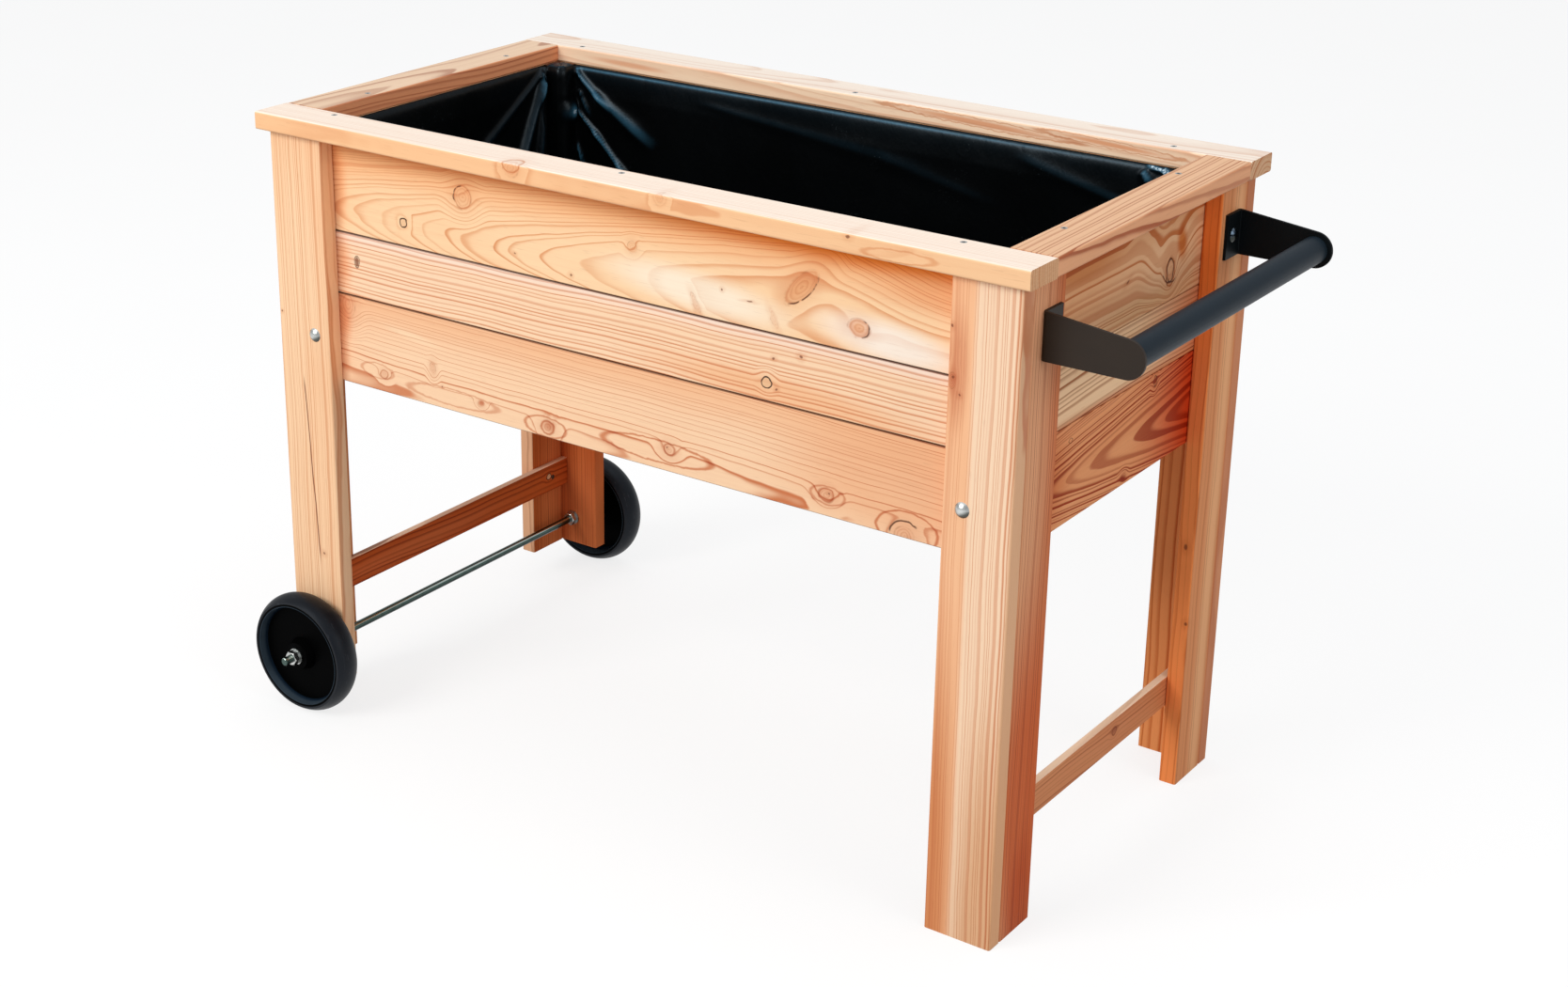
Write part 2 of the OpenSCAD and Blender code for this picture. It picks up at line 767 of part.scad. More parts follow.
end_plank(WHEEL_END, TOP);  // wheel_end_plank_top
end_plank(HANDLE_END, LOW);  // handle_end_plank_low
end_plank(HANDLE_END, MID);  // handle_end_plank_mid
end_plank(HANDLE_END, TOP);  // handle_end_plank_top
corner_post(WHEEL_END, FRONT);  // front_wheel_post
corner_post(WHEEL_END, REAR);  // rear_wheel_post
corner_post(HANDLE_END, FRONT);  // front_handle_post
corner_post(HANDLE_END, REAR);  // rear_handle_post
long_bearer(FRONT);  // front_bearer
long_bearer(REAR);  // rear_bearer
end_bearer(WHEEL_END);  // wheel_end_bearer
end_bearer(HANDLE_END);  // handle_end_bearer
floor_boards();
liner();
stretcher(WHEEL_END);  // wheel_stretcher
stretcher(HANDLE_END);  // handle_stretcher
axle_rod();
axle_nuts();
axle_washers();
wheel_disc(FRONT);  // front_wheel_disc
wheel_tyre(FRONT);  // front_wheel_tyre
wheel_disc(REAR);  // rear_wheel_disc
wheel_tyre(REAR);  // rear_wheel_tyre
handle_tube();
handle_bracket(FRONT);  // front_handle_bracket
handle_bracket(REAR);  // rear_handle_bracket
face_bolts();
wheel_end_bolts();
handle_bolts();
bolt_washers();
bolt_nuts();
rim_screws();
plank_screws();
bearer_screws();
stretcher_screws();
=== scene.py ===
import math
import random

import bmesh
import bpy
from mathutils import Matrix, Vector, noise


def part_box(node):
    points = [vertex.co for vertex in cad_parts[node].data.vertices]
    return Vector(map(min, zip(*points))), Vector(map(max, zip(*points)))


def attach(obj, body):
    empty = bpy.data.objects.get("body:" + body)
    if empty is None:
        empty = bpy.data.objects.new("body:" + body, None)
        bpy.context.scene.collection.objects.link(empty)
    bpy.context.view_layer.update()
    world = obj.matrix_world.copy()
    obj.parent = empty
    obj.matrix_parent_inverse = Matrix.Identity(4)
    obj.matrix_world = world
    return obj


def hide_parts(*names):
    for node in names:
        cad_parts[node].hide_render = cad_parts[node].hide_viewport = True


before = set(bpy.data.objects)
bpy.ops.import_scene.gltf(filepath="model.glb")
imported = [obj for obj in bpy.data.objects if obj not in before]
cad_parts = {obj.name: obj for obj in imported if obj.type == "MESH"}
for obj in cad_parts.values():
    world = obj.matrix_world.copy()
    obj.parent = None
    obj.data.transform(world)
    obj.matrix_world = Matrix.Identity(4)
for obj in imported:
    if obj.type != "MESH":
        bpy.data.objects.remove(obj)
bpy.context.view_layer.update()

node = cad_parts
scene = bpy.context.scene
scene.view_settings.view_transform = "Standard"


# Camera. The planter is seen from a little above its rim, from the front and the handle end.
# The picture was cropped, so the lens axis lies up and left of its middle.
eye = Vector((1.7885, -2.64013, 1.70012))
yaw, pitch, roll = 0.62729, -0.36119, 0.00591
sight = Vector((-math.sin(yaw) * math.cos(pitch), math.cos(yaw) * math.cos(pitch), math.sin(pitch)))
level = Vector((math.cos(yaw), math.sin(yaw), 0.0))
above = level.cross(sight)
turned = level * math.cos(roll) + above * math.sin(roll)
upward = above * math.cos(roll) - level * math.sin(roll)
lens = bpy.data.cameras.new("camera")
lens.sensor_width = 36.0
lens.lens = 56.972
lens.shift_x = 0.05463
lens.shift_y = -0.05364
lens.clip_end = 200.0
camera = bpy.data.objects.new("camera", lens)
camera.matrix_world = Matrix.Translation(eye) @ Matrix((turned, upward, -sight)).transposed().to_4x4()
scene.collection.objects.link(camera)
scene.camera = camera


# Studio. A wide pale floor, white paper behind it, one big soft lamp at the front left, one beyond
# the handle and a cooler one overhead, so level that a colour renders about as it is written.
floor_half, floor_glow, room_light, paper_light = 45.0, 0.785, 0.62, 1.0


class Value:
    """One shader socket. Arithmetic on it adds Math nodes to the finish that it belongs to."""

    def __init__(self, finish, socket):
        self.finish = finish
        self.socket = socket

    def math(self, operation, first, second=0.0):
        return self.finish.add("ShaderNodeMath", {"operation": operation}, {0: first, 1: second})

    def __add__(self, other):
        return self.math("ADD", self, other)

    def __sub__(self, other):
        return self.math("SUBTRACT", self, other)

    def __rsub__(self, other):
        return self.math("SUBTRACT", other, self)

    def __mul__(self, other):
        return self.math("MULTIPLY", self, other)

    def __truediv__(self, other):
        return self.math("DIVIDE", self, other)

    def __pow__(self, other):
        return self.math("POWER", self, other)

    def __abs__(self):
        return self.math("ABSOLUTE", self)

    __radd__ = __add__
    __rmul__ = __mul__

    def least(self, other):
        return self.math("MINIMUM", self, other)

    def most(self, other):
        return self.math("MAXIMUM", self, other)

    def fract(self):
        return self.math("FRACT", self)

    def floor(self):
        return self.math("FLOOR", self)

    def rise(self, low, high):
        """0 below low, 1 above high, and smooth between."""
        return self.finish.add(
            "ShaderNodeMapRange",
            {"interpolation_type": "SMOOTHSTEP"},
            {"Value": self, "From Min": low, "From Max": high},
        )

    def fall(self, low, high):
        return 1.0 - self.rise(low, high)


class Finish:
    """One procedural material."""

    def __init__(self, name):
        self.material = bpy.data.materials.new(name)
        self.material.use_nodes = True
        self.tree = self.material.node_tree
        self.tree.nodes.clear()
        self.out = self.tree.nodes.new("ShaderNodeOutputMaterial")

    def add(self, kind, settings, sockets, output=0):
        made = self.tree.nodes.new(kind)
        for key, value in settings.items():
            setattr(made, key, value)
        for key, value in sockets.items():
            if isinstance(value, Value):
                self.tree.links.new(value.socket, made.inputs[key])
            else:
                made.inputs[key].default_value = value
        return Value(self, made.outputs[output])

    def place(self):
        """x, y and z of the point on the piece, in metres."""
        spot = self.add("ShaderNodeTexCoord", {}, {}, "Object")
        return [self.add("ShaderNodeSeparateXYZ", {}, {0: spot}, axis) for axis in range(3)]

    def facing(self):
        """x, y and z of the way that the surface looks."""
        turn = self.add("ShaderNodeNewGeometry", {}, {}, "Normal")
        return [self.add("ShaderNodeSeparateXYZ", {}, {0: turn}, axis) for axis in range(3)]

    def vector(self, x, y, z):
        return self.add("ShaderNodeCombineXYZ", {}, {0: x, 1: y, 2: z})

    def noise(self, vector, detail=2.0, rough=0.5, twist=0.0):
        return self.add(
            "ShaderNodeTexNoise",
            {},
            {"Vector": vector, "Scale": 1.0, "Detail": detail, "Roughness": rough, "Distortion": twist},
        )

    def line_noise(self, along, detail):
        return self.add(
            "ShaderNodeTexNoise",
            {"noise_dimensions": "1D"},
            {"W": along, "Scale": 1.0, "Detail": detail},
        )

    def blend(self, factor, first, second, how="MIX"):
        return self.add(
            "ShaderNodeMix",
            {"data_type": "RGBA", "blend_type": how},
            {0: factor, 6: first, 7: second},
            2,
        )

    def bump(self, height, strength, distance):
        return self.add(
            "ShaderNodeBump", {}, {"Height": height, "Strength": strength, "Distance": distance}
        )

    def surface(self, **sockets):
        named = {key.replace("_", " "): value for key, value in sockets.items()}
        made = self.add("ShaderNodeBsdfPrincipled", {}, named)
        self.tree.links.new(made.socket, self.out.inputs[0])
        return self.material


def paint(red, green, blue):
    """A colour as seen on screen, from 0 to 255, as the light that it sends back."""
    return tuple(
        (c / 255 / 12.92 if c < 10.3 else ((c / 255 + 0.055) / 1.055) ** 2.4) for c in (red, green, blue)
    ) + (1.0,)


def new_piece(name, mesh_maker, material, body=None):
    """A finished object from a bmesh, in place, riding on its body if it has one."""
    mesh = bpy.data.meshes.new(name)
    mesh_maker.to_mesh(mesh)
    mesh_maker.free()
    for face in mesh.polygons:
        face.use_smooth = True
    mesh.materials.append(material)
    made = bpy.data.objects.new(name, mesh)
    scene.collection.objects.link(made)
    if body:
        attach(made, body)
    return made


floor_white = Finish("studio_floor")
seen = floor_white.add("ShaderNodeLightPath", {}, {}, "Is Camera Ray")
shine = floor_white.add("ShaderNodeLightPath", {}, {}, "Is Glossy Ray")
grain = floor_white.noise(floor_white.vector(*[v * 2.0 for v in floor_white.place()]), 3.0)
pale = floor_white.add("ShaderNodeBsdfDiffuse", {}, {
    "Color": floor_white.blend(grain, (0.215, 0.215, 0.215, 1), (0.225, 0.225, 0.225, 1)),
})
lift = floor_white.add("ShaderNodeEmission", {}, {"Color": (1, 1, 1, 1), "Strength": floor_glow})
bright = floor_white.add("ShaderNodeAddShader", {}, {0: pale, 1: lift})
quiet = floor_white.add("ShaderNodeBsdfDiffuse", {}, {"Color": (0.34, 0.34, 0.34, 1)})
both = floor_white.add("ShaderNodeMixShader", {}, {0: seen.most(shine), 1: quiet, 2: bright})
floor_white.tree.links.new(both.socket, floor_white.out.inputs[0])
ground = bmesh.new()
bmesh.ops.create_grid(ground, x_segments=8, y_segments=8, size=floor_half)
floor = new_piece("studio_floor", ground, floor_white.material)

scene.world = bpy.data.worlds.new("studio")
scene.world.use_nodes = True
air = scene.world.node_tree
air.nodes.clear()
path = air.nodes.new("ShaderNodeLightPath")
fill = air.nodes.new("ShaderNodeBackground")
fill.inputs[0].default_value = (0.95, 0.97, 1.0, 1)
fill.inputs[1].default_value = room_light
paper = air.nodes.new("ShaderNodeBackground")
paper.inputs[0].default_value = (1, 1, 1, 1)
paper.inputs[1].default_value = paper_light
either = air.nodes.new("ShaderNodeMath")
either.operation = "MAXIMUM"
air.links.new(path.outputs["Is Camera Ray"], either.inputs[0])
air.links.new(path.outputs["Is Transmission Ray"], either.inputs[1])
mix = air.nodes.new("ShaderNodeMixShader")
air.links.new(either.outputs[0], mix.inputs[0])
air.links.new(fill.outputs[0], mix.inputs[1])
air.links.new(paper.outputs[0], mix.inputs[2])
air_out = air.nodes.new("ShaderNodeOutputWorld")
air.links.new(mix.outputs[0], air_out.inputs[0])


def lamp(name, spot, target, size, power, colour):
    """A soft oblong lamp, hung at a spot and turned toward its target."""
    made = bpy.data.lights.new(name, "AREA")
    made.shape = "RECTANGLE"
    made.size, made.size_y = size
    made.energy = power
    made.color = colour
    hung = bpy.data.objects.new(name, made)
    hung.location = spot
    hung.rotation_euler = (Vector(target) - Vector(spot)).to_track_quat("-Z", "Y").to_euler()
    scene.collection.objects.link(hung)


lamp("front_lamp", (-1.6, -4.4, 3.4), (0, 0, 0.5), (3.0, 2.4), 185, (1.0, 0.98, 0.95))
lamp("top_lamp", (0.4, 0.6, 3.8), (0, 0, 0.5), (3.0, 2.2), 25, (0.90, 0.95, 1.0))
lamp("side_lamp", (4.6, -0.6, 2.4), (0.3, 0, 0.5), (2.4, 2.4), 48, (1.0, 0.98, 0.95))


# Wood. Every board is planed larch, cut from its own log: the rings are real surfaces round a
# pith beside the board, so faces, edges and sawn ends agree. Knots push the rings aside.
def wood(name, along, across, out, seed, pith, ring=0.0062, taper=0.01, wander=0.012, push=0.002,
         early=(252, 200, 152), late=(222, 146, 90), warm=(246, 182, 126), lean=None, contrast=0.8,
         bold=0.0, dense=None, swells=(), stains=(), tones=(), knots=(), knot_deep=1.0,
         black_knots=(), hoops=(), scars=(), pins=(), splits=(), calm=(), seam=0.0, cloudy=0.6,
         gloss=0.20, uneven=1.1):
    """One board's finish. Its axes are along and across, and out says which way its face looks.

    pith: the log's middle, across the board and out from its face. ring: the width of a year.
    taper, wander: how the log narrows and strays. push: how far knots move the rings.
    early, late, warm: pale wood, dark lines, warm clouds. lean: where across it turns warm.
    contrast, bold, uneven: how dark and broad the lines are, and how much the years differ.
    dense: how far from the pith the years become narrower, and by how much.

    A place is along, across, half length, half height and turn, from the board's middle, and the
    last ones may be left out. knots, black_knots, pins and calm, where the lines fade, are places;
    a pin may add its half depth and how far out it lies. A swell ends with its height, a hoop, or
    thin line round a knot, with its darkness. A scar is an arc on one side of its place.
    stains: colour, strength, place; real stains, and painted shade as well. tones: axis, sign and colour of a
    whole side, for its own colour and for painted light and shade on it.
    splits: from and to along, from and to across, width. seam: how dark the long edges are.
    """
    f = Finish(name)
    low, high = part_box(name)
    mid, half = (low + high) / 2, (high - low) / 2
    deep = 3 - along - across
    spot = f.place()
    # Metres from the board's middle: s along it, u across its face and w out of its face
    s = spot[along] - mid[along]
    u = spot[across] - mid[across]
    w = (spot[deep] - mid[deep]) * out
    grain_ratio = tuple(min(1.0, b / a) for a, b in zip(paint(*early), paint(*late)))
    resin, sawn, heart, bark = paint(150, 84, 46), paint(150, 88, 54), paint(236, 190, 146), paint(40, 20, 12)
    knot_brown, hoop_brown, torn_brown = paint(160, 86, 46), paint(70, 34, 18), paint(76, 36, 18)
    pin_brown, crack_brown, edge_brown = paint(122, 62, 38), paint(124, 58, 30), paint(96, 44, 22)

    # The log wanders, its surface waves, and the edges of its knots are ragged
    sway = f.noise(f.vector(s * 2.2 + seed * 3.7, u * 2.0 + seed, w * 2.0), 1.0)
    wave = f.noise(f.vector(s * 9.0 + seed * 1.3, u * 22.0 + seed, w * 22.0), 2.0)
    jitter = f.noise(f.vector(s * 80 + seed, u * 80, seed), 2.0)
    ragged = f.vector(s + (jitter - 0.5) * 0.006, u + (jitter - 0.5) * 0.005, w)
    smooth = f.vector(s, u, w)

    def inside(at_s, at_u, long, tall=None, turn=0.0, deepness=None, at_w=half[deep], soft=False):
        """The spot as seen from a place on the board, whose edge is 1 away, and its distance."""
        place = f.add("ShaderNodeMapping", {"vector_type": "TEXTURE"}, {
            "Vector": smooth if soft else ragged,
            "Location": (at_s, at_u, at_w),
            "Rotation": (0.0, 0.0, turn),
            "Scale": (long, tall or long * 0.85, deepness or knot_deep),
        })
        return place, f.add("ShaderNodeVectorMath", {"operation": "LENGTH"}, {0: place}, 1)

    def nearest(places):
        """The distance to whichever of the places is the closest."""
        close = None
        for row in places:
            gap = inside(*row)[1]
            close = gap if close is None else close.least(gap)
        return close

    # Distance from the pith. The grain flows round the knots, which push the rings as well
    flow = u
    for row in (*knots, *black_knots):
        flow = flow - (u - row[1]) * (inside(*row, soft=True)[1].fall(0.6, 3.2) * 0.72)
    off_u = flow - pith[0] + (sway - 0.5) * wander * 2
    off_w = w - half[deep] - pith[1]
    far = (off_u * off_u + off_w * off_w) ** 0.5 + s * taper + (wave - 0.5) * 0.004
    knot = nearest(knots) if knots else None
    black = nearest(black_knots) if black_knots else None
    for near in (knot, black):
        if near:
            far = far + near.fall(0.3, 3.4) * push
    for row in swells:
        far = far + inside(*row[:5], soft=True)[1].fall(0.0, 1.0) * row[5]

    # The years, counted from the pith: a line darkens slowly and ends sharply
    wide = far / ring
    if dense:
        wide = wide + (far - dense[0]).most(0.0) * (dense[1] / ring)
    wide = wide + (f.line_noise(wide * 0.45 + seed, 2.0) - 0.5) * uneven * 1.6
    turn = wide.fract()
    vary = f.add("ShaderNodeTexWhiteNoise", {"noise_dimensions": "1D"}, {"W": wide.floor() + seed})
    line = turn.rise(0.42 - bold * 0.25, min(0.91, 0.92 - bold * 0.3)) ** 2 * turn.fall(0.92, 1.0)
    line = line * (vary * 0.65 + 0.35)
    for row in calm:
        line = line * (1.0 - inside(*row, soft=True)[1].fall(0.5, 1.0) * 0.7)
    end = abs(f.facing()[along]).rise(0.8, 0.95)

    # Fibres, streaks, clouds and short dashes of resin
    fibre = f.noise(f.vector(s * 7 + seed, u * 340, w * 340), 2.0, 0.6)
    streak = f.noise(f.vector(s * 1.1 + seed, u * 90, w * 90), 2.0)
    cloud = f.noise(f.vector(s * 2.6 + seed * 5, u * 12, w * 12), 2.0)
    dash = f.noise(f.vector(s * 45 + seed, u * 700, w * 700), 0.0).rise(0.70, 0.80)
    shade = cloud.rise(0.32, 0.72) * cloudy
    if lean:
        shade = (shade * 0.4 + u.rise(*lean) * 0.8).least(1.0)
    base = f.blend(shade, paint(*early), paint(*warm))
    # Whole sides are recoloured, some with painted light or shade, then stains go on, some of them painted
    # shade
    for axis, sign, tint in tones:
        base = f.blend((f.facing()[axis] * sign).rise(0.45, 0.8), base, paint(*tint))
    for tint, strength, *row in stains:
        base = f.blend(inside(*row, soft=True)[1].fall(0.25, 1.0) * strength, base, paint(*tint))
    colour = f.blend((line * (end * 0.8 + contrast)).least(1.0), base, grain_ratio, "MULTIPLY")
    colour = f.blend((fibre * 0.5 + streak * 0.5).rise(0.40, 0.68) * 0.08, colour, grain_ratio, "MULTIPLY")
    colour = f.blend(dash * 0.10, colour, resin)

    # Sound knots hold a swirl of their own, black ones a pale heart in a rim of bark
    height = line * 0.35 + fibre * 0.12
    if knot:
        swirl = (knot * 3.1 + wave * 1.6).fract().rise(0.3, 0.95)
        colour = f.blend(knot.fall(0.9, 2.4) * 0.16, colour, grain_ratio, "MULTIPLY")
        colour = f.blend(knot.fall(0.80, 1.05) * (swirl * 0.30 + 0.08), colour, grain_ratio, "MULTIPLY")
        rim = knot.rise(0.84, 0.97) * knot.fall(1.0, 1.12)
        colour = f.blend(rim * jitter.rise(0.40, 0.66) * 0.40, colour, knot_brown)
        height = height + knot.fall(0.8, 1.0) * 0.15
    if black:
        colour = f.blend(black.fall(0.80, 0.95) * 0.75, colour, heart)
        rim = black.rise(0.76, 0.88) * black.fall(1.0, 1.12)
        colour = f.blend(rim * 0.95, colour, bark)
        height = height + rim * -1.0

    # Thin lines round knots, torn arcs beside them, pin knots, drying cracks and worn long edges
    for *row, dark in hoops:
        hoop, thin = inside(*row)[1], min(0.14, 0.0013 / min(row[2:4]))
        hoop = hoop.rise(1 - thin * 1.8, 1 - thin * 0.5) * hoop.fall(1 - thin * 0.2, 1 + thin)
        if dark > 0.6:
            colour = f.blend(hoop * dark, colour, hoop_brown)
        else:
            colour = f.blend((hoop * dark * 1.7).least(1.0), colour, grain_ratio, "MULTIPLY")
    for row in scars:
        place, gap = inside(*row)
        side = f.add("ShaderNodeSeparateXYZ", {}, {0: place}, 0)
        cut = gap.rise(0.88, 0.95) * gap.fall(0.99, 1.07) * side.rise(0.2, 0.55)
        cut = cut * jitter.rise(0.36, 0.50)
        colour = f.blend(cut * 0.9, colour, torn_brown)
        height = height - cut * 1.2
    if pins:
        pin = nearest(pins)
        colour = f.blend(pin.fall(1.0, 3.4) * 0.25, colour, grain_ratio, "MULTIPLY")
        colour = f.blend(pin.fall(0.4, 1.0) * 0.8, colour, pin_brown)
    for from_s, to_s, from_u, to_u, width in splits:
        part = (s - from_s) / (to_s - from_s)
        centre = part * (to_u - from_u) + from_u + (wave - 0.5) * 0.004
        crack = abs(u - centre).fall(width * 0.4, width) * part.rise(0.0, 0.08) * part.fall(0.9, 1.0)
        colour = f.blend(crack * 0.9, colour, crack_brown)
        height = height - crack * 1.5
    if seam:
        rub = abs(u).rise(half[across] - 0.0016, half[across] - 0.0004)
        colour = f.blend(rub * seam, colour, edge_brown)

    # Sawn ends are darker and rougher than the planed faces
    saw = f.noise(f.vector(u * 700 + seed, w * 120, s * 700), 2.0)
    colour = f.blend(end * (saw * 0.3 + 0.2), colour, sawn)
    height = height + end * saw * 1.2
    rough = 0.56 + (fibre - 0.5) * 0.12 + end * 0.2 - line * 0.06
    return f.surface(
        Base_Color=colour, Roughness=rough, Specular_IOR_Level=gloss,
        Normal=f.bump(height, 0.25, 0.0005),
    )


X, Y, Z = 0, 1, 2


def finish_node(name, material):
    """A piece of the CAD keeps its shape and gets this material."""
    made = node[name]
    made.data.materials.clear()
    made.data.materials.append(material)


def board(name, *settings, **more):
    """A wooden piece of the CAD, each with grain of its own."""
    finish_node(name, wood(name, *settings, **more))


# Corner posts, bearers and floor boards. Sawn battens inside the tub carry everything else.
# The posts take the bolts, the bearers are screwed to the planks, the floor lies loose on them.
# The film lies over the posts' tops, and the wood just below them gets a painted shade, nearly black.
painted_shade_under_film = ((26, 22, 20), 1.0, 0.178, 0.0, 0.012, 1.0)
for count, name in enumerate((
    "front_wheel_post", "rear_wheel_post", "front_handle_post", "rear_handle_post",
)):
    board(name, Z, X, 1, 11.0 + count, (0.03, 0.02), 0.004, early=(238, 192, 146), late=(196, 122, 72),
          stains=(painted_shade_under_film,))
board("front_bearer", X, Z, 1, 21.0, (0.02, 0.05), 0.004)
board("rear_bearer", X, Z, 1, 22.0, (-0.03, 0.04), 0.004)
board("wheel_end_bearer", Y, Z, 1, 23.0, (0.03, 0.04), 0.004)
board("handle_end_bearer", Y, Z, 1, 24.0, (0.03, -0.04), 0.004)
board("floor_boards", Y, X, 1, 25.0, (0.0, -0.6), 0.005, wander=0.1, early=(240, 194, 148))


# Long planks. Three rows on each long side, with eased edges and a narrow gap between them,
# screwed to the posts. The front ones are the palest boards below the rim. The inner face of the
# top rear one, behind the film, gets a painted shade, nearly black.
painted_shade_behind_film = (44, 32, 22)
# Its orange band under the rim is painted shade: the two orange stains high on it, and the lean toward warm,
# which is partly its heartwood. The darker stains at both ends, beside the legs, are painted shade too.
board("front_plank_top", X, Z, -1, 1.0, (-0.035, -0.085), 0.0075, taper=-0.075, wander=0.010,
      early=(254, 216, 172), warm=(244, 166, 100), late=(222, 142, 86), lean=(-0.005, 0.060),
      contrast=0.9, cloudy=0.35, seam=0.75, push=0.004, dense=(0.094, 1.5),
      swells=((0.52, 0.03, 0.27, 0.13, 0.0, 0.045),),
      calm=((0.12, -0.036, 0.19, 0.034, -0.08), (0.40, -0.045, 0.13, 0.033, -0.1)),
      knots=((-0.2611, 0.0192, 0.0155, 0.0165), (0.2735, -0.001, 0.032, 0.0135, 0.80),
             (0.3563, -0.0353, 0.0165, 0.0125), (0.0189, 0.0023, 0.0075, 0.0085),
             (0.1173, -0.0507, 0.0145, 0.0042, -1.05), (0.2341, -0.048, 0.0145, 0.0042, -1.1)),
      black_knots=((-0.3681, -0.0344, 0.0066, 0.0070),),
      hoops=((-0.3681, -0.0344, 0.0062, 0.0066, 0.0, 0.95), (-0.2611, 0.0192, 0.0145, 0.0155, 0.0, 0.30),
             (0.3563, -0.0353, 0.0135, 0.0105, 0.0, 0.35), (0.2735, -0.001, 0.029, 0.012, 0.8, 0.22)),
      scars=((0.2735, -0.001, 0.0130, 0.031, -0.80), (-0.2651, 0.0212, 0.0115, 0.0135, 2.6),
             (0.3563, -0.0353, 0.0150, 0.0115, -0.1)),
      stains=(((255, 237, 212), 1.0, 0.12, -0.036, 0.19, 0.036, -0.08),
              ((255, 240, 224), 1.0, 0.40, -0.045, 0.14, 0.036, -0.1),
              ((255, 146, 66), 0.85, -0.25, 0.074, 0.45, 0.034),
              ((255, 134, 4), 1.0, 0.36, 0.070, 0.56, 0.042),
              ((236, 146, 84), 0.55, -0.49, 0.0, 0.026, 0.09),
              ((238, 160, 104), 0.6, 0.49, 0.022, 0.16, 0.034),
              ((246, 190, 136), 0.6, 0.2735, -0.001, 0.036, 0.017, 0.80),
              ((242, 174, 114), 0.7, 0.3563, -0.0353, 0.018, 0.014)),
      pins=((-0.1736, -0.0412, 0.0022), (-0.0808, -0.0534, 0.0026), (0.1574, -0.0256, 0.0022),
            (0.1978, -0.0336, 0.0065, 0.0011, 0.05)))
# The pale band along its top edge, where lean turns it to warm, is a painted highlight. The darker stain at
# its left end, beside the leg, is painted shade.
board("front_plank_mid", X, Z, -1, 2.0, (0.16, -0.06), 0.0060, taper=0.006, wander=0.014, uneven=0.6,
      early=(253, 217, 180), warm=(253, 230, 214), late=(212, 124, 72), lean=(0.022, 0.046),
      contrast=1.0, cloudy=0.25, seam=0.75, bold=0.3,
      black_knots=((0.2255, -0.0201, 0.0072, 0.0078),),
      stains=(((238, 156, 100), 0.6, -0.49, 0.0, 0.030, 0.06),
              ((246, 180, 126), 0.6, 0.25, -0.03, 0.30, 0.030, -0.03),
              ((150, 108, 84), 0.95, -0.4571, 0.0057, 0.0058, 0.0100)),
      hoops=((-0.4571, 0.0057, 0.0048, 0.0085, 0.0, 0.75), (-0.4571, 0.0057, 0.0022, 0.0060, 0.0, 0.75)),
      pins=((0.2351, 0.0131, 0.0024), (0.2748, 0.0232, 0.0034), (0.2401, -0.0261, 0.0022)))
# The darker stains at its left end, beside the leg, are painted shade.
board("front_plank_low", X, Z, -1, 3.0, (-0.058, -0.060), 0.0050, taper=0.016, wander=0.014, uneven=0.8,
      early=(252, 213, 175), warm=(246, 189, 144), late=(206, 120, 74), lean=(0.0, 0.065),
      contrast=1.0, cloudy=0.5, seam=0.75, push=0.006, bold=-0.9,
      knots=((-0.4143, -0.0384, 0.0075), (-0.3235, -0.0105, 0.0055, 0.0095),
             (-0.2382, -0.0427, 0.0060), (-0.1232, -0.0499, 0.0125), (0.0768, -0.0341, 0.0110),
             (0.3162, -0.0368, 0.0120), (0.4288, -0.0616, 0.0140), (-0.478, 0.050, 0.014, 0.020)),
      hoops=((-0.1232, -0.0499, 0.0110, 0.0095, 0.0, 0.50), (0.0768, -0.0341, 0.0095, 0.008, 0.0, 0.40),
             (0.3162, -0.0368, 0.0105, 0.0090, 0.0, 0.45), (-0.4143, -0.0384, 0.0070, 0.006, 0.0, 0.40),
             (-0.427, -0.036, 0.031, 0.011, 0.0, 0.30), (-0.289, -0.045, 0.082, 0.012, 0.0, 0.32),
             (-0.127, -0.050, 0.036, 0.0145, 0.0, 0.45), (0.0565, -0.040, 0.089, 0.0155, 0.0, 0.50),
             (0.318, -0.037, 0.026, 0.0125, 0.0, 0.38), (0.432, -0.054, 0.044, 0.024, 0.0, 0.50)),
      scars=((0.4288, -0.0616, 0.020, 0.022, 1.9),),
      stains=(((234, 136, 80), 0.7, -0.492, 0.030, 0.026, 0.055),
              ((238, 146, 92), 0.5, -0.495, -0.03, 0.022, 0.05),
              ((240, 168, 118), 0.55, 0.42, 0.0, 0.24, 0.10),
              ((254, 222, 184), 0.6, -0.36, 0.028, 0.07, 0.008, -0.12)),
      pins=((-0.3067, -0.0327, 0.0016), (0.073, -0.032, 0.0018), (0.319, -0.035, 0.0018)))
board("rear_plank_top", X, Z, 1, 4.0, (-0.05, -0.07), 0.0075, taper=0.05,
      knots=((0.21, 0.01, 0.014), (-0.33, -0.02, 0.010)), pins=((0.05, -0.03, 0.003),),
      tones=((Y, -1, painted_shade_behind_film),))
board("rear_plank_mid", X, Z, 1, 5.0, (0.14, -0.05), 0.0056, knots=((0.36, 0.0, 0.010),))
board("rear_plank_low", X, Z, 1, 6.0, (-0.06, -0.07), 0.0060, taper=0.02,
      knots=((-0.12, -0.02, 0.012), (0.28, -0.03, 0.009)), black_knots=((-0.41, 0.01, 0.006),))


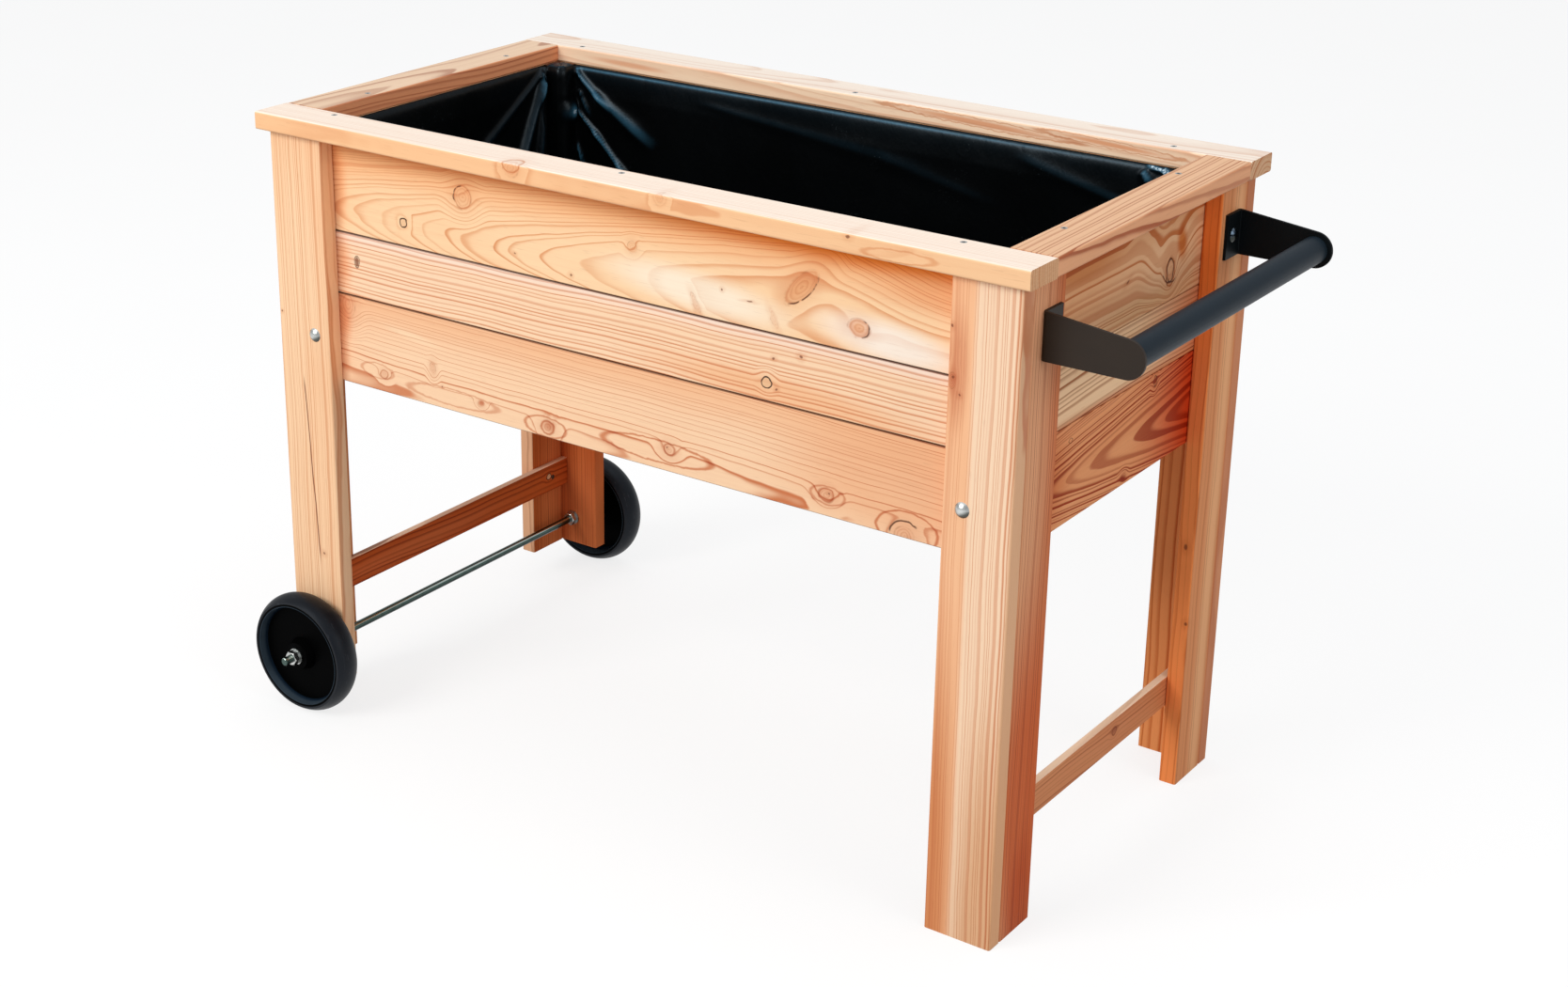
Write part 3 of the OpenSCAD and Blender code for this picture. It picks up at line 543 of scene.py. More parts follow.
# End planks. They sit between the long planks, in the same three rows. The ones under the handle
# are darker: a swirl round a big knot in the top one, long dark tongues in the lowest.
board("handle_end_plank_top", Y, Z, 1, 7.0, (0.16, -0.05), 0.0125, taper=0.02, wander=0.020,
      early=(232, 184, 142), warm=(218, 146, 88), late=(190, 106, 52), contrast=1.0, bold=0.8,
      dense=(0.208, 1.2), gloss=0.06,
      swells=((0.112, -0.012, 0.095, 0.080, 0.35, -0.036), (0.1207, -0.0263, 0.030, 0.038, 0.2, -0.024),
              (0.030, 0.045, 0.050, 0.030, 0.5, 0.010), (0.090, 0.052, 0.030, 0.030, 0.0, -0.009)),
      knots=((0.1207, -0.0263, 0.013, 0.020, 0.15),),
      hoops=((0.1207, -0.0263, 0.0095, 0.0165, 0.15, 0.95), (0.1207, -0.0280, 0.0125, 0.0195, 0.15, 0.5)),
      scars=((0.1207, -0.0283, 0.0135, 0.021, -1.9), (0.1207, -0.0263, 0.0115, 0.019, 3.0)),
      stains=(((200, 108, 40), 0.9, 0.150, 0.004, 0.020, 0.034, 0.3),
              ((204, 126, 66), 0.8, -0.12, 0.040, 0.17, 0.034, 0.0),
              ((220, 172, 124), 0.7, 0.03, -0.055, 0.16, 0.022, 0.0)),
      pins=((0.0022, -0.0109, 0.0065, 0.0024, 0.5),))
board("handle_end_plank_mid", Y, Z, 1, 8.0, (-0.14, -0.03), 0.0086, taper=-0.02, wander=0.014,
      early=(250, 210, 168), warm=(228, 178, 130), late=(164, 94, 50), contrast=1.1, bold=0.4, gloss=0.06,
      stains=(((206, 112, 66), 0.85, 0.25, 0.0, 0.24, 0.12), ((200, 110, 60), 0.9, 0.0, -0.052, 0.5, 0.022)))
board("handle_end_plank_low", Y, Z, 1, 9.0, (-0.009, -0.024), 0.0100, taper=-0.10, wander=0.006,
      early=(238, 164, 114), warm=(222, 134, 80), late=(156, 48, 8), contrast=1.0, bold=0.75,
      dense=(0.036, 1.2), gloss=0.04,
      knots=((0.1014, 0.054, 0.005, 0.008), (0.0276, -0.0535, 0.007)),
      hoops=((0.1014, 0.054, 0.0045, 0.0075, 0.0, 0.9), (-0.1243, 0.0426, 0.005, 0.003, 0.0, 0.9)),
      stains=(((200, 62, 24), 1.0, 0.27, 0.0, 0.24, 0.30), ((206, 112, 62), 0.8, -0.2, 0.0, 0.10, 0.1)))
# Its inner face gets the same painted shade as the top rear plank's.
board("wheel_end_plank_top", Y, Z, -1, 10.0, (-0.04, -0.06), 0.0075, knots=((-0.11, 0.0, 0.012),),
      tones=((X, 1, painted_shade_behind_film),))
board("wheel_end_plank_mid", Y, Z, -1, 11.5, (0.13, -0.05), 0.0060)
board("wheel_end_plank_low", Y, Z, -1, 12.5, (-0.05, -0.06), 0.0070, knots=((0.09, -0.01, 0.010),))


# Legs. Two boards butted into an L at each corner, bolted through planks and post.
# They are quarter-sawn, so their lines run straight up and down.
board("front_wheel_leg_face", Z, X, -1, 31.0, (0.20, -0.05), 0.0046, taper=0.003, wander=0.008,
      early=(253, 213, 172), warm=(246, 188, 140), late=(212, 132, 80), uneven=1.8,
      pins=((0.1439, -0.0422, 0.002), (-0.2126, 0.0162, 0.003)),
      splits=((0.060, -0.235, -0.006, 0.0095, 0.0015),))
board("front_wheel_leg_side", Z, Y, -1, 32.0, (0.14, -0.07), 0.0048, taper=0.003, wander=0.008,
      early=(226, 150, 94), warm=(212, 126, 72), late=(178, 92, 46))
# The rear wheel leg's boards are darker and redder than the wood, a painted shade under the tub that lightens
# toward their feet; their outward faces, and the side board's front edge, keep the pale wood.
board("rear_wheel_leg_face", Z, X, 1, 33.0, (0.16, -0.04), 0.0052, taper=0.003, wander=0.008,
      early=(204, 98, 44), warm=(188, 78, 32), late=(150, 56, 20), gloss=0.05,
      stains=(((244, 148, 92), 0.5, -0.40, 0.02, 0.26, 0.07),), tones=((Y, 1, (236, 186, 138)),))
board("rear_wheel_leg_side", Z, Y, -1, 34.0, (-0.15, -0.04), 0.0052, taper=0.003, wander=0.008,
      early=(206, 106, 50), warm=(184, 80, 34), late=(136, 52, 18), gloss=0.05,
      stains=(((244, 148, 92), 0.5, -0.36, 0.016, 0.28, 0.055),),
      tones=((Y, -1, (238, 184, 144)), (X, -1, (234, 182, 134))))
board("front_handle_leg_face", Z, X, -1, 35.0, (-0.20, -0.02), 0.0056, taper=-0.004, wander=0.010,
      early=(254, 221, 188), warm=(250, 188, 140), late=(212, 128, 82), lean=(-0.008, -0.018),
      cloudy=0.3, uneven=2.0, knots=((0.3005, -0.0405, 0.010, 0.0050),),
      stains=(((214, 132, 92), 0.6, 0.315, -0.034, 0.10, 0.020),
              ((218, 138, 86), 0.9, -0.40, -0.040, 0.50, 0.036),
              ((228, 176, 132), 0.9, -0.44, 0.03, 0.46, 0.055),
              ((222, 162, 114), 0.75, 0.0, 0.050, 1.2, 0.011)),
      pins=((0.3653, -0.0440, 0.003), (0.3045, -0.0395, 0.0025), (0.2834, -0.031, 0.0025)))
board("front_handle_leg_side", Z, Y, 1, 36.0, (0.13, -0.02), 0.0050, taper=0.004, wander=0.010,
      early=(232, 170, 128), warm=(204, 104, 54), late=(158, 76, 38), lean=(-0.02, 0.045), cloudy=0.3,
      gloss=0.06, uneven=2.0, knots=((0.17, 0.041, 0.012, 0.006),),
      hoops=((0.17, 0.041, 0.008, 0.004, 0.0, 0.8),),
      stains=(((208, 98, 48), 0.9, -0.24, 0.0, 0.36, 0.09), ((190, 78, 34), 0.7, -0.40, 0.01, 0.14, 0.05),
              ((196, 96, 50), 0.8, 0.19, 0.047, 0.09, 0.016)))
# The faces of the rear handle leg that look to the front get a bright orange tone, painted warm light where
# they are seen under the tub; on the side board an orange stain makes it brightest at the top of that edge.
board("rear_handle_leg_face", Z, X, 1, 37.0, (-0.16, -0.03), 0.0105, taper=-0.003, wander=0.010,
      early=(224, 144, 84), warm=(206, 114, 58), late=(184, 92, 40), gloss=0.08, contrast=1.1, bold=0.3,
      tones=((Y, -1, (255, 168, 104)), (Y, 1, (234, 180, 130)), (X, 1, (214, 144, 104))))
board("rear_handle_leg_side", Z, Y, 1, 38.0, (0.05, -0.10), 0.0066, taper=0.003, wander=0.010,
      early=(222, 134, 84), warm=(222, 150, 100), late=(176, 90, 46), lean=(-0.041, -0.034),
      contrast=0.9, cloudy=0.0, gloss=0.06, uneven=2.0, tones=((Y, -1, (255, 150, 84)),),
      stains=(((255, 124, 40), 1.0, 0.34, -0.044, 0.24, 0.012),
              ((250, 198, 148), 0.5, 0.0, 0.015, 1.2, 0.024)),
      pins=((-0.0715, -0.037, 0.0055, 0.004, 0.0, 0.0035, 0.0),
            (-0.1825, -0.037, 0.004, 0.003, 0.0, 0.003, 0.009)))


# Rim. Two long rails with an end rail butted between them at each end, screwed down from above.
# These are the palest boards, with a painted highlight that makes their tops paler still.
board("front_rail", X, Z, -1, 41.0, (0.004, -0.10), 0.0046, taper=0.010, wander=0.006, contrast=0.55,
      early=(250, 204, 158), warm=(246, 190, 140), late=(224, 148, 96), knot_deep=0.022, push=0.006,
      tones=((Z, 1, (244, 228, 212)),),
      knots=((-0.1454, 0.0075, 0.0135, 0.013), (0.0892, 0.0075, 0.007, 0.006)),
      hoops=((-0.1454, 0.0135, 0.0150, 0.0125, 0.0, 0.5), (0.43, -0.003, 0.050, 0.0075, 0.03, 0.35)),
      pins=((0.3611, 0.0087, 0.004, 0.0025),))
# The near-black stain along the bottom of its inner face is painted shade, in the gap above the film.
board("rear_rail", X, Z, -1, 42.0, (-0.03, -0.05), 0.0080, taper=0.02, wander=0.020, contrast=0.55,
      knot_deep=0.02, stains=(((224, 150, 104), 0.8, 0.20, 0.003, 0.16, 0.006, -0.03),
                              ((228, 152, 104), 0.8, 0.40, 0.004, 0.11, 0.005, -0.04),
                              ((222, 142, 94), 0.6, -0.40, 0.000, 0.10, 0.006, -0.02),
                              ((50, 36, 22), 0.95, 0.0, -0.0150, 1.6, 0.0060)),
      hoops=((0.20, 0.003, 0.16, 0.0062, -0.03, 0.4), (0.40, 0.004, 0.11, 0.0052, -0.04, 0.4)),
      early=(246, 208, 168), warm=(244, 198, 152), late=(204, 124, 72),
      tones=((Z, 1, (241, 227, 212)), (Y, -1, (250, 218, 186))))
board("wheel_end_rail", Y, Z, 1, 43.0, (-0.05, -0.02), 0.0085, taper=0.015, wander=0.020, contrast=0.7,
      early=(238, 200, 162), warm=(230, 178, 134), late=(160, 84, 50), bold=0.4,
      tones=((Z, 1, (229, 198, 168)), (X, 1, (228, 151, 106))))
board("handle_end_rail", Y, Z, 1, 44.0, (-0.03, -0.09), 0.0062, taper=0.02, wander=0.014, contrast=1.0,
      early=(238, 186, 138), warm=(226, 156, 104), late=(172, 92, 48), bold=0.3,
      tones=((Z, 1, (226, 181, 143)), (X, 1, (236, 172, 128))))


# Stretchers. One thin planed batten ties the legs together at each end, low down.
# It is screwed to the inner faces of their side boards, near the floor.
# The tops of both get a painted highlight, and the wheel one's deep red is partly painted shade.
board("wheel_stretcher", Y, Z, 1, 51.0, (-0.05, -0.02), 0.0085, taper=0.02, wander=0.020,
      early=(206, 96, 42), warm=(192, 82, 34), late=(128, 42, 12), bold=0.5, gloss=0.04,
      stains=(((232, 128, 76), 0.5, -0.10, -0.004, 0.30, 0.021),),
      tones=((Z, 1, (244, 206, 176)),),
      black_knots=((0.235, 0.0035, 0.006),))
board("handle_stretcher", Y, Z, 1, 52.0, (-0.05, -0.03), 0.0060, taper=0.02, wander=0.020,
      early=(214, 142, 96), warm=(206, 122, 76), late=(160, 82, 42), gloss=0.08,
      tones=((Z, 1, (246, 214, 184)),),
      knots=((0.0551, 0.0045, 0.007),), hoops=((0.0551, 0.0045, 0.0065, 0.0055, 0.0, 0.6),))


# Film liner. One sheet of black polythene, folded into the tub and held under the rim.
# It hugs the planks, wraps round the posts, lies over their tops and falls in pleats from them.
def film_material():
    """Glossy black film, finely crinkled, with specks of soil, a painted bluish sheen on its creases, a
    painted highlight under the rim and painted glints over the nuts.
    """
    f = Finish("liner_film")
    x, y, z = f.place()
    crinkle = f.noise(f.vector(x * 45, y * 45, z * 26), 4.0, 0.55, 0.6)
    fine = f.noise(f.vector(x * 260, y * 260, z * 260), 2.0)
    slow = f.noise(f.vector(x * 7, y * 7, z * 5), 2.0)
    dust = f.noise(f.vector(x * 420, y * 420, z * 420), 1.0).rise(0.70, 0.76)
    dust_and_sheen = f.noise(f.vector(x * 9, y * 9, z * 13 + 7), 2.0).rise(0.52, 0.66)
    painted_sheen = f.add("ShaderNodeAttribute", {"attribute_name": "painted_sheen"}, {}, "Fac")
    colour = f.blend(slow, paint(2, 2, 2), paint(3, 4, 5))
    # Painted sheen on the creases, the flaps and under the rim, and pale painted glints where it is strongest
    colour = f.blend((painted_sheen * (crinkle * 0.8 + 0.6)).least(1.0), colour, paint(46, 88, 110))
    colour = f.blend((painted_sheen - 1.0).rise(0.0, 1.0) * fine.rise(0.40, 0.60), colour, paint(190, 214, 228))
    colour = f.blend(dust * dust_and_sheen * 0.35, colour, paint(74, 84, 88))
    rough = 0.22 + slow * 0.12 + fine * 0.05
    return f.surface(
        Base_Color=colour, Roughness=rough, Specular_IOR_Level=0.20,
        Specular_Tint=(0.72, 0.88, 1.0, 1),
        Normal=f.bump(crinkle * 0.8 + fine * 0.1, 0.35, 0.003),
    )


film_thick, film_gap, post_gap = 0.0004, 0.0006, 0.0022
liner_low, liner_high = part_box("liner")
post_low, post_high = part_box("rear_handle_post")
centre_x = (liner_low.x + liner_high.x) / 2
wall_x, wall_y = liner_high.x - centre_x - film_thick, liner_high.y - film_thick
post_in_x, post_in_y = post_low.x - centre_x - post_gap, post_low.y - post_gap
rim_in_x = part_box("handle_end_rail")[0].x - centre_x - film_gap
rim_in_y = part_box("rear_rail")[0].y - film_gap
film_top, film_base = liner_high.z, liner_low.z + film_gap

# The path round the tub. At each corner the film leaves one wall, rounds the post and meets the
# next wall. Its points are closely set near the posts, where it is busy
wall_bend, post_bend, bend_steps = 0.012, 0.004, 6
close_set, wide_set, busy_reach, least_gap = 0.003, 0.007, 0.14, 0.002
turns = []
for sx, sy in ((1, 1), (-1, 1), (-1, -1), (1, -1)):
    trio = [(wall_x * sx, post_in_y * sy, wall_bend), (post_in_x * sx, post_in_y * sy, post_bend),
            (post_in_x * sx, wall_y * sy, wall_bend)]
    turns += trio if sx * sy > 0 else trio[::-1]
corner_dots = []
for i, (cx, cy, radius) in enumerate(turns):
    here = Vector((cx, cy))
    before = (Vector(turns[i - 1][:2]) - here).normalized()
    after = (Vector(turns[(i + 1) % len(turns)][:2]) - here).normalized()
    hub = here + (before + after) * radius
    for step in range(bend_steps + 1):
        part = step / bend_steps * math.pi / 2
        corner_dots.append(hub - after * radius * math.cos(part) - before * radius * math.sin(part))
film_dots = []
for i, dot in enumerate(corner_dots):
    ahead = corner_dots[(i + 1) % len(corner_dots)]
    gap = (ahead - dot).length
    spots = [0.0]
    while spots[-1] < gap - least_gap:
        edge = min(spots[-1], gap - spots[-1])
        spots.append(spots[-1] + (close_set if edge < busy_reach else wide_set))
    film_dots += [dot.lerp(ahead, min(1.0, at / gap)) for at in spots[:-1]]
dot_count = len(film_dots)
inward = []
for i in range(dot_count):
    chord = film_dots[(i + 1) % dot_count] - film_dots[i - 1]
    inward.append(Vector((-chord.y, chord.x)).normalized())

# The pleats that stand out most, listed: wall (its outward direction), from and to
# (along the wall, height), half widths there, how far it stands out and how much painted sheen it carries,
# past 1 a painted glint
REAR, FRONT, WHEEL, HANDLE = (0, 1), (0, -1), (-1, 0), (1, 0)
lead, trail = 0.1, 1.25
pleats = [
    (REAR, -0.5530, 0.8570, -0.4885, 0.8055, 0.0025, 0.0075, 0.0060, 0.90),
    (REAR, -0.4990, 0.8140, -0.4130, 0.7620, 0.0070, 0.0150, 0.0050, 0.50),
    (REAR, -0.5390, 0.7880, -0.4983, 0.7520, 0.0020, 0.0040, 0.0050, 0.90),
    (REAR, -0.5040, 0.7570, -0.4520, 0.7060, 0.0040, 0.0050, 0.0050, 0.95),
    (REAR, -0.4570, 0.7110, -0.3700, 0.6300, 0.0050, 0.0120, 0.0050, 0.60),
    (REAR, -0.5500, 0.7460, -0.5316, 0.7100, 0.0035, 0.0050, 0.0050, 0.85),
    (REAR, -0.5348, 0.8174, -0.5180, 0.7880, 0.0025, 0.0040, 0.0040, 0.30),
    (REAR, -0.2873, 0.8300, 0.0200, 0.8000, 0.0060, 0.0140, 0.0012, 0.045),
    (REAR, 0.0100, 0.8010, 0.1600, 0.7700, 0.0120, 0.0100, 0.0012, 0.03),
    (REAR, 0.2350, 0.8350, 0.4200, 0.7900, 0.0100, 0.0100, 0.0016, 0.09),
    (WHEEL, 0.2110, 0.8450, 0.2030, 0.8040, 0.0040, 0.0070, 0.0050, 0.75),
    (WHEEL, 0.2160, 0.8500, 0.1500, 0.7100, 0.0040, 0.0100, 0.0060, 0.10),
    (WHEEL, 0.2123, 0.7700, 0.1900, 0.6400, 0.0050, 0.0090, 0.0050, 0.12),
    (REAR, 0.4150, 0.8545, 0.4520, 0.8490, 0.0030, 0.0030, 0.0040, 2.20),
    (REAR, 0.4090, 0.8460, 0.4180, 0.8340, 0.0060, 0.0080, 0.0050, 0.90),
    (REAR, 0.4380, 0.8550, 0.4500, 0.8400, 0.0035, 0.0045, 0.0050, 1.60),
]

# Smaller ones fan out from the posts' corners under the rim, each a little different
fan_top = 0.855
random.seed(7)
for wall, start, way in ((FRONT, -0.545, 1), (WHEEL, -0.222, 1), (FRONT, 0.458, -1), (HANDLE, -0.222, 1),
                         (REAR, 0.458, -1), (HANDLE, 0.222, -1), (WHEEL, 0.222, -1)):
    for reach, drop, broad in ((0.035, 0.24, 0.006), (0.10, 0.20, 0.008), (0.17, 0.12, 0.010)):
        reach *= random.uniform(0.8, 1.25)
        drop *= random.uniform(0.85, 1.1)
        pleats.append((wall, start, fan_top, start + way * reach, fan_top - drop, 0.003, broad, 0.0050, 0.04))

# Two nuts on each post push the film out: one for the end face's bolt, one for the long side's
end_bolt_y, end_bolt_z, side_bolt_x, side_bolt_z = 0.240, 0.788, 0.520, 0.572
nut_round, nut_reach, nut_bulge, most_deep = 0.009, 0.040, 0.0100, 0.024
nuts = []
for sx in (-1, 1):
    for sy in (-1, 1):
        nuts.append(Vector((sx * post_in_x + centre_x, sy * end_bolt_y, end_bolt_z)))
        nuts.append(Vector((sx * side_bolt_x + centre_x, sy * post_in_y, side_bolt_z)))


def film_spot(i, z):
    """How far the film stands in from the tub's wall at one point, and the painted sheen on it."""
    dot, down = film_dots[i], film_top - z
    spot = Vector((dot.x + centre_x, dot.y, z))
    turn = inward[i]
    # It bellies out under the rim, and hangs in soft folds and small dents below
    belly = 0.0040 * (1 - math.exp(-down / 0.005)) * (0.25 + 0.75 * math.exp(-down / 0.05))
    soft = noise.noise(Vector((dot.x * 5, dot.y * 5, z * 4))) * 0.0030 + 0.0030
    small = noise.noise(Vector((dot.x * 24, dot.y * 24, z * 9 + 5))) * 0.0008 + 0.0008
    depth = belly + (soft + small) * min(1.0, down / 0.04)
    # A painted highlight runs along the rear wall just under its top, brightest toward the wheels, over a
    # faint painted sheen
    painted_sheen = 0.0
    if dot.y > wall_y - 0.004:
        far_end = max(0.0, min(1.0, (0.36 - spot.x) / 0.30))
        painted_sheen = (0.25 + far_end * 0.95) * math.exp(-((down - 0.0038) / 0.0013) ** 2)
        painted_sheen += 0.06 * math.exp(-down / 0.012)
    # A pleat is a ridge on its own wall, with a painted sheen along it. It starts a little before its run and
    # dies out past it
    for wall, from_a, from_z, to_a, to_z, from_w, to_w, tall, dust_and_sheen in pleats:
        if wall[0] * turn.x + wall[1] * turn.y > -0.7:
            continue
        along, cross = (spot.x, dot.y * wall[1]) if wall[1] else (dot.y, dot.x * wall[0])
        if cross < (wall_y if wall[1] else wall_x) - 0.02:
            continue
        run_a, run_z = to_a - from_a, to_z - from_z
        length = math.hypot(run_a, run_z)
        part = ((along - from_a) * run_a + (z - from_z) * run_z) / length ** 2
        if not -lead < part < trail:
            continue
        side = ((z - from_z) * run_a - (along - from_a) * run_z) / length
        side *= 1 if run_a > 0 else -1
        side /= from_w + (to_w - from_w) * max(0.0, min(1.0, part))
        if abs(side) < 3:
            ends = min(1.0, (part + lead) / 0.15) * min(1.0, max(0.0, (trail - part) / 0.45))
            depth += tall * math.exp(-side * side) * ends * min(1.0, down / 0.006)
            painted_sheen += dust_and_sheen * math.exp(-((side - 0.30) / 0.50) ** 4) * ends
    # Over a nut it is pushed out to a round bump, with a painted glint at the tip
    for nut in nuts:
        gap = (spot - nut).length
        if gap < nut_reach:
            slope = max(0.0, gap - nut_round) / (nut_reach - nut_round)
            depth = max(depth, nut_bulge * (1 - slope) ** 1.6)
            painted_sheen += 2.1 * math.exp(-(gap / 0.0065) ** 2)
    return min(depth, most_deep), painted_sheen


film = bmesh.new()
marks = film.verts.layers.float.new("painted_sheen")
rows = []


def film_row(spots, painted_sheens):
    """One more loop of points round the tub, each with its painted sheen."""
    rows.append([film.verts.new(spot) for spot in spots])
    for vert, dust_and_sheen in zip(rows[-1], painted_sheens):
        vert[marks] = dust_and_sheen


# The flaps over the post tops, mitred along each post's diagonal and rippled across the fold, with stripes of
# painted sheen across it
flap_ripple, on_post = 0.0022, -0.0005
for part in (1.0, 0.66, 0.33, 0.0):
    spots, painted_sheens = [], []
    for i, dot in enumerate(film_dots):
        out_x, out_y = abs(dot.x) - post_in_x, abs(dot.y) - post_in_y
        x, y = abs(dot.x), abs(dot.y)
        if out_x > on_post and out_y > on_post:
            if out_x > out_y:
                y = y + max(0.0, min(out_x, rim_in_y - y)) * part
            else:
                x = x + max(0.0, min(out_y, rim_in_x - x)) * part
            x, y = min(x, rim_in_x), min(y, rim_in_y)
            fold = abs(out_x - out_y)
            top = post_high.z + film_gap
            top += flap_ripple * part * (1 - part) * 4 * (0.5 + 0.5 * math.sin(fold * 300))
            painted_sheens.append(0.14 + 0.12 * math.sin(fold * 420) * part)
        else:
            top = film_top
            painted_sheens.append(0.0)
        spots.append((math.copysign(x, dot.x) + centre_x, math.copysign(y, dot.y), top))
    film_row(spots, painted_sheens)

# Down the walls, round a bend at their foot, and in over the floor to a line along its middle,
# where the points of both sides fall on each other and are merged
foot_bend, wall_rows, bend_rows, floor_rows = 0.018, 84, 5, 16
middle_half, weld_step = 0.27, 0.0075
wall_drop = film_top - film_base - foot_bend
heights = [film_top - wall_drop * (k / wall_rows) ** 1.3 for k in range(wall_rows + 1)]
for z in heights:
    spots, painted_sheens = [], []
    for i in range(dot_count):
        deep, dust_and_sheen = film_spot(i, z)
        dot = film_dots[i] + inward[i] * deep
        spots.append((dot.x + centre_x, dot.y, z))
        painted_sheens.append(dust_and_sheen)
    film_row(spots, painted_sheens)
for k in range(1, bend_rows + 1):
    part = k / bend_rows * math.pi / 2
    spots = []
    for i in range(dot_count):
        dot = film_dots[i] + inward[i] * (film_spot(i, heights[-1])[0] + foot_bend * (1 - math.cos(part)))
        spots.append((dot.x + centre_x, dot.y, film_base + foot_bend * (1 - math.sin(part))))
    film_row(spots, [0.0] * dot_count)
last = [vert.co.copy() for vert in rows[-1]]
for k in range(1, floor_rows + 1):
    part = (k / floor_rows) ** 0.85
    spots = []
    for spot in last:
        near_x = max(centre_x - middle_half, min(centre_x + middle_half, spot.x))
        flat = spot.lerp(Vector((near_x, 0.0, film_base)), part)
        rough = noise.noise(Vector((flat.x * 14, flat.y * 14, 3))) * 0.5 + 0.5
        crease = max(0.0, noise.noise(Vector((flat.x * 5 + 9, flat.y * 9, 1)))) ** 1.5
        if k == floor_rows:
            flat.x = round(flat.x / weld_step) * weld_step
        flat.z = film_base + (rough * 0.0016 + crease * 0.010) * min(1, part * 6)
        spots.append(flat)
    film_row(spots, [0.0] * dot_count)
for upper, lower in zip(rows, rows[1:]):
    for i in range(dot_count):
        j = (i + 1) % dot_count
        film.faces.new((upper[i], upper[j], lower[j], lower[i]))
bmesh.ops.remove_doubles(film, verts=film.verts, dist=0.0003)
bmesh.ops.recalc_face_normals(film, faces=film.faces)
liner = new_piece("film_liner", film, film_material(), "planter")
thick = liner.modifiers.new("film_thickness", "SOLIDIFY")
thick.thickness = film_thick
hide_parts("liner")


# Hardware. Domed bolts, nuts, washers and countersunk screws of zinc-plated steel, with the thin
# cold cast of fresh plating. They hold legs, planks, rim, stretchers and handle.
def zinc(name, tint, rough_level, thread=None, painted_low_reflection=(58, 60, 54), painted_high_reflection=(236, 240, 238)):
    """Plated steel. under and gleam are painted reflections, the colours painted on its lower and upper sides
    for what they mirror, and thread is how far from the middle a thread starts, and its pitch."""
    f = Finish(name)
    x, y, z = f.place()
    patch = f.noise(f.vector(x * 90, y * 90, z * 90), 3.0)
    fine = f.noise(f.vector(x * 1500, y * 1500, z * 1500), 2.0)
    colour = f.blend(patch.rise(0.35, 0.7), paint(*tint), paint(*[c * 0.86 for c in tint]))
    tilt = f.facing()[2]
    # Painted reflections: a dark one on the sides that look down, a pale band on the sides that look up
    colour = f.blend((f.facing()[0] * 0.5 - tilt).rise(0.06, 0.60) * 0.9, colour, paint(*painted_low_reflection))
    colour = f.blend(tilt.rise(0.50, 0.66) * tilt.fall(0.78, 0.92) * 0.9, colour, paint(*painted_high_reflection))
    rough = rough_level + (patch - 0.5) * 0.12 + fine * 0.05
    height = fine * 0.2 + patch * 0.3
    if thread:
        start, spacing = thread
        ridge = abs((abs(y) / spacing).fract() - 0.5) * abs(y).rise(start, start + 0.0005)
        height = height * 0.3 + ridge * 3
    return f.surface(
        Base_Color=colour, Metallic=1.0, Roughness=rough, Normal=f.bump(height, 0.35, 0.0004)
    )


plated = zinc("zinc_hardware", (208, 211, 209), 0.24)
for name in ("axle_nuts", "axle_washers", "face_bolts", "wheel_end_bolts", "bolt_washers",
             "bolt_nuts", "rim_screws", "plank_screws", "bearer_screws", "stretcher_screws"):
    finish_node(name, plated)
# The handle bolts are blued, with a dimmer painted reflection on top.
finish_node("handle_bolts", zinc("blued_zinc", (70, 84, 98), 0.22, painted_high_reflection=(120, 136, 150)))


# Axle. One drawn steel rod through both wheel-end legs, darker than the plated nuts on it.
# It is threaded at both ends, beyond the hubs. The thread is only a fine ridge in its finish.
axle_thread = (0.3505, 0.0015)
# Its dark underside and pale band along the top are painted reflections.
finish_node("axle_rod", zinc(
    "axle_steel", (84, 104, 98), 0.16, axle_thread, painted_low_reflection=(30, 42, 40), painted_high_reflection=(206, 220, 212),
))


# Wheels. Dished discs moulded in black plastic, with a crowned rubber tyre over each.
# Their hubs turn freely on the rod. The moulded lip of each disc gets a painted cold highlight on its edge
# and inner wall.
axle_at = (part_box("axle_rod")[0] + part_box("axle_rod")[1]) / 2


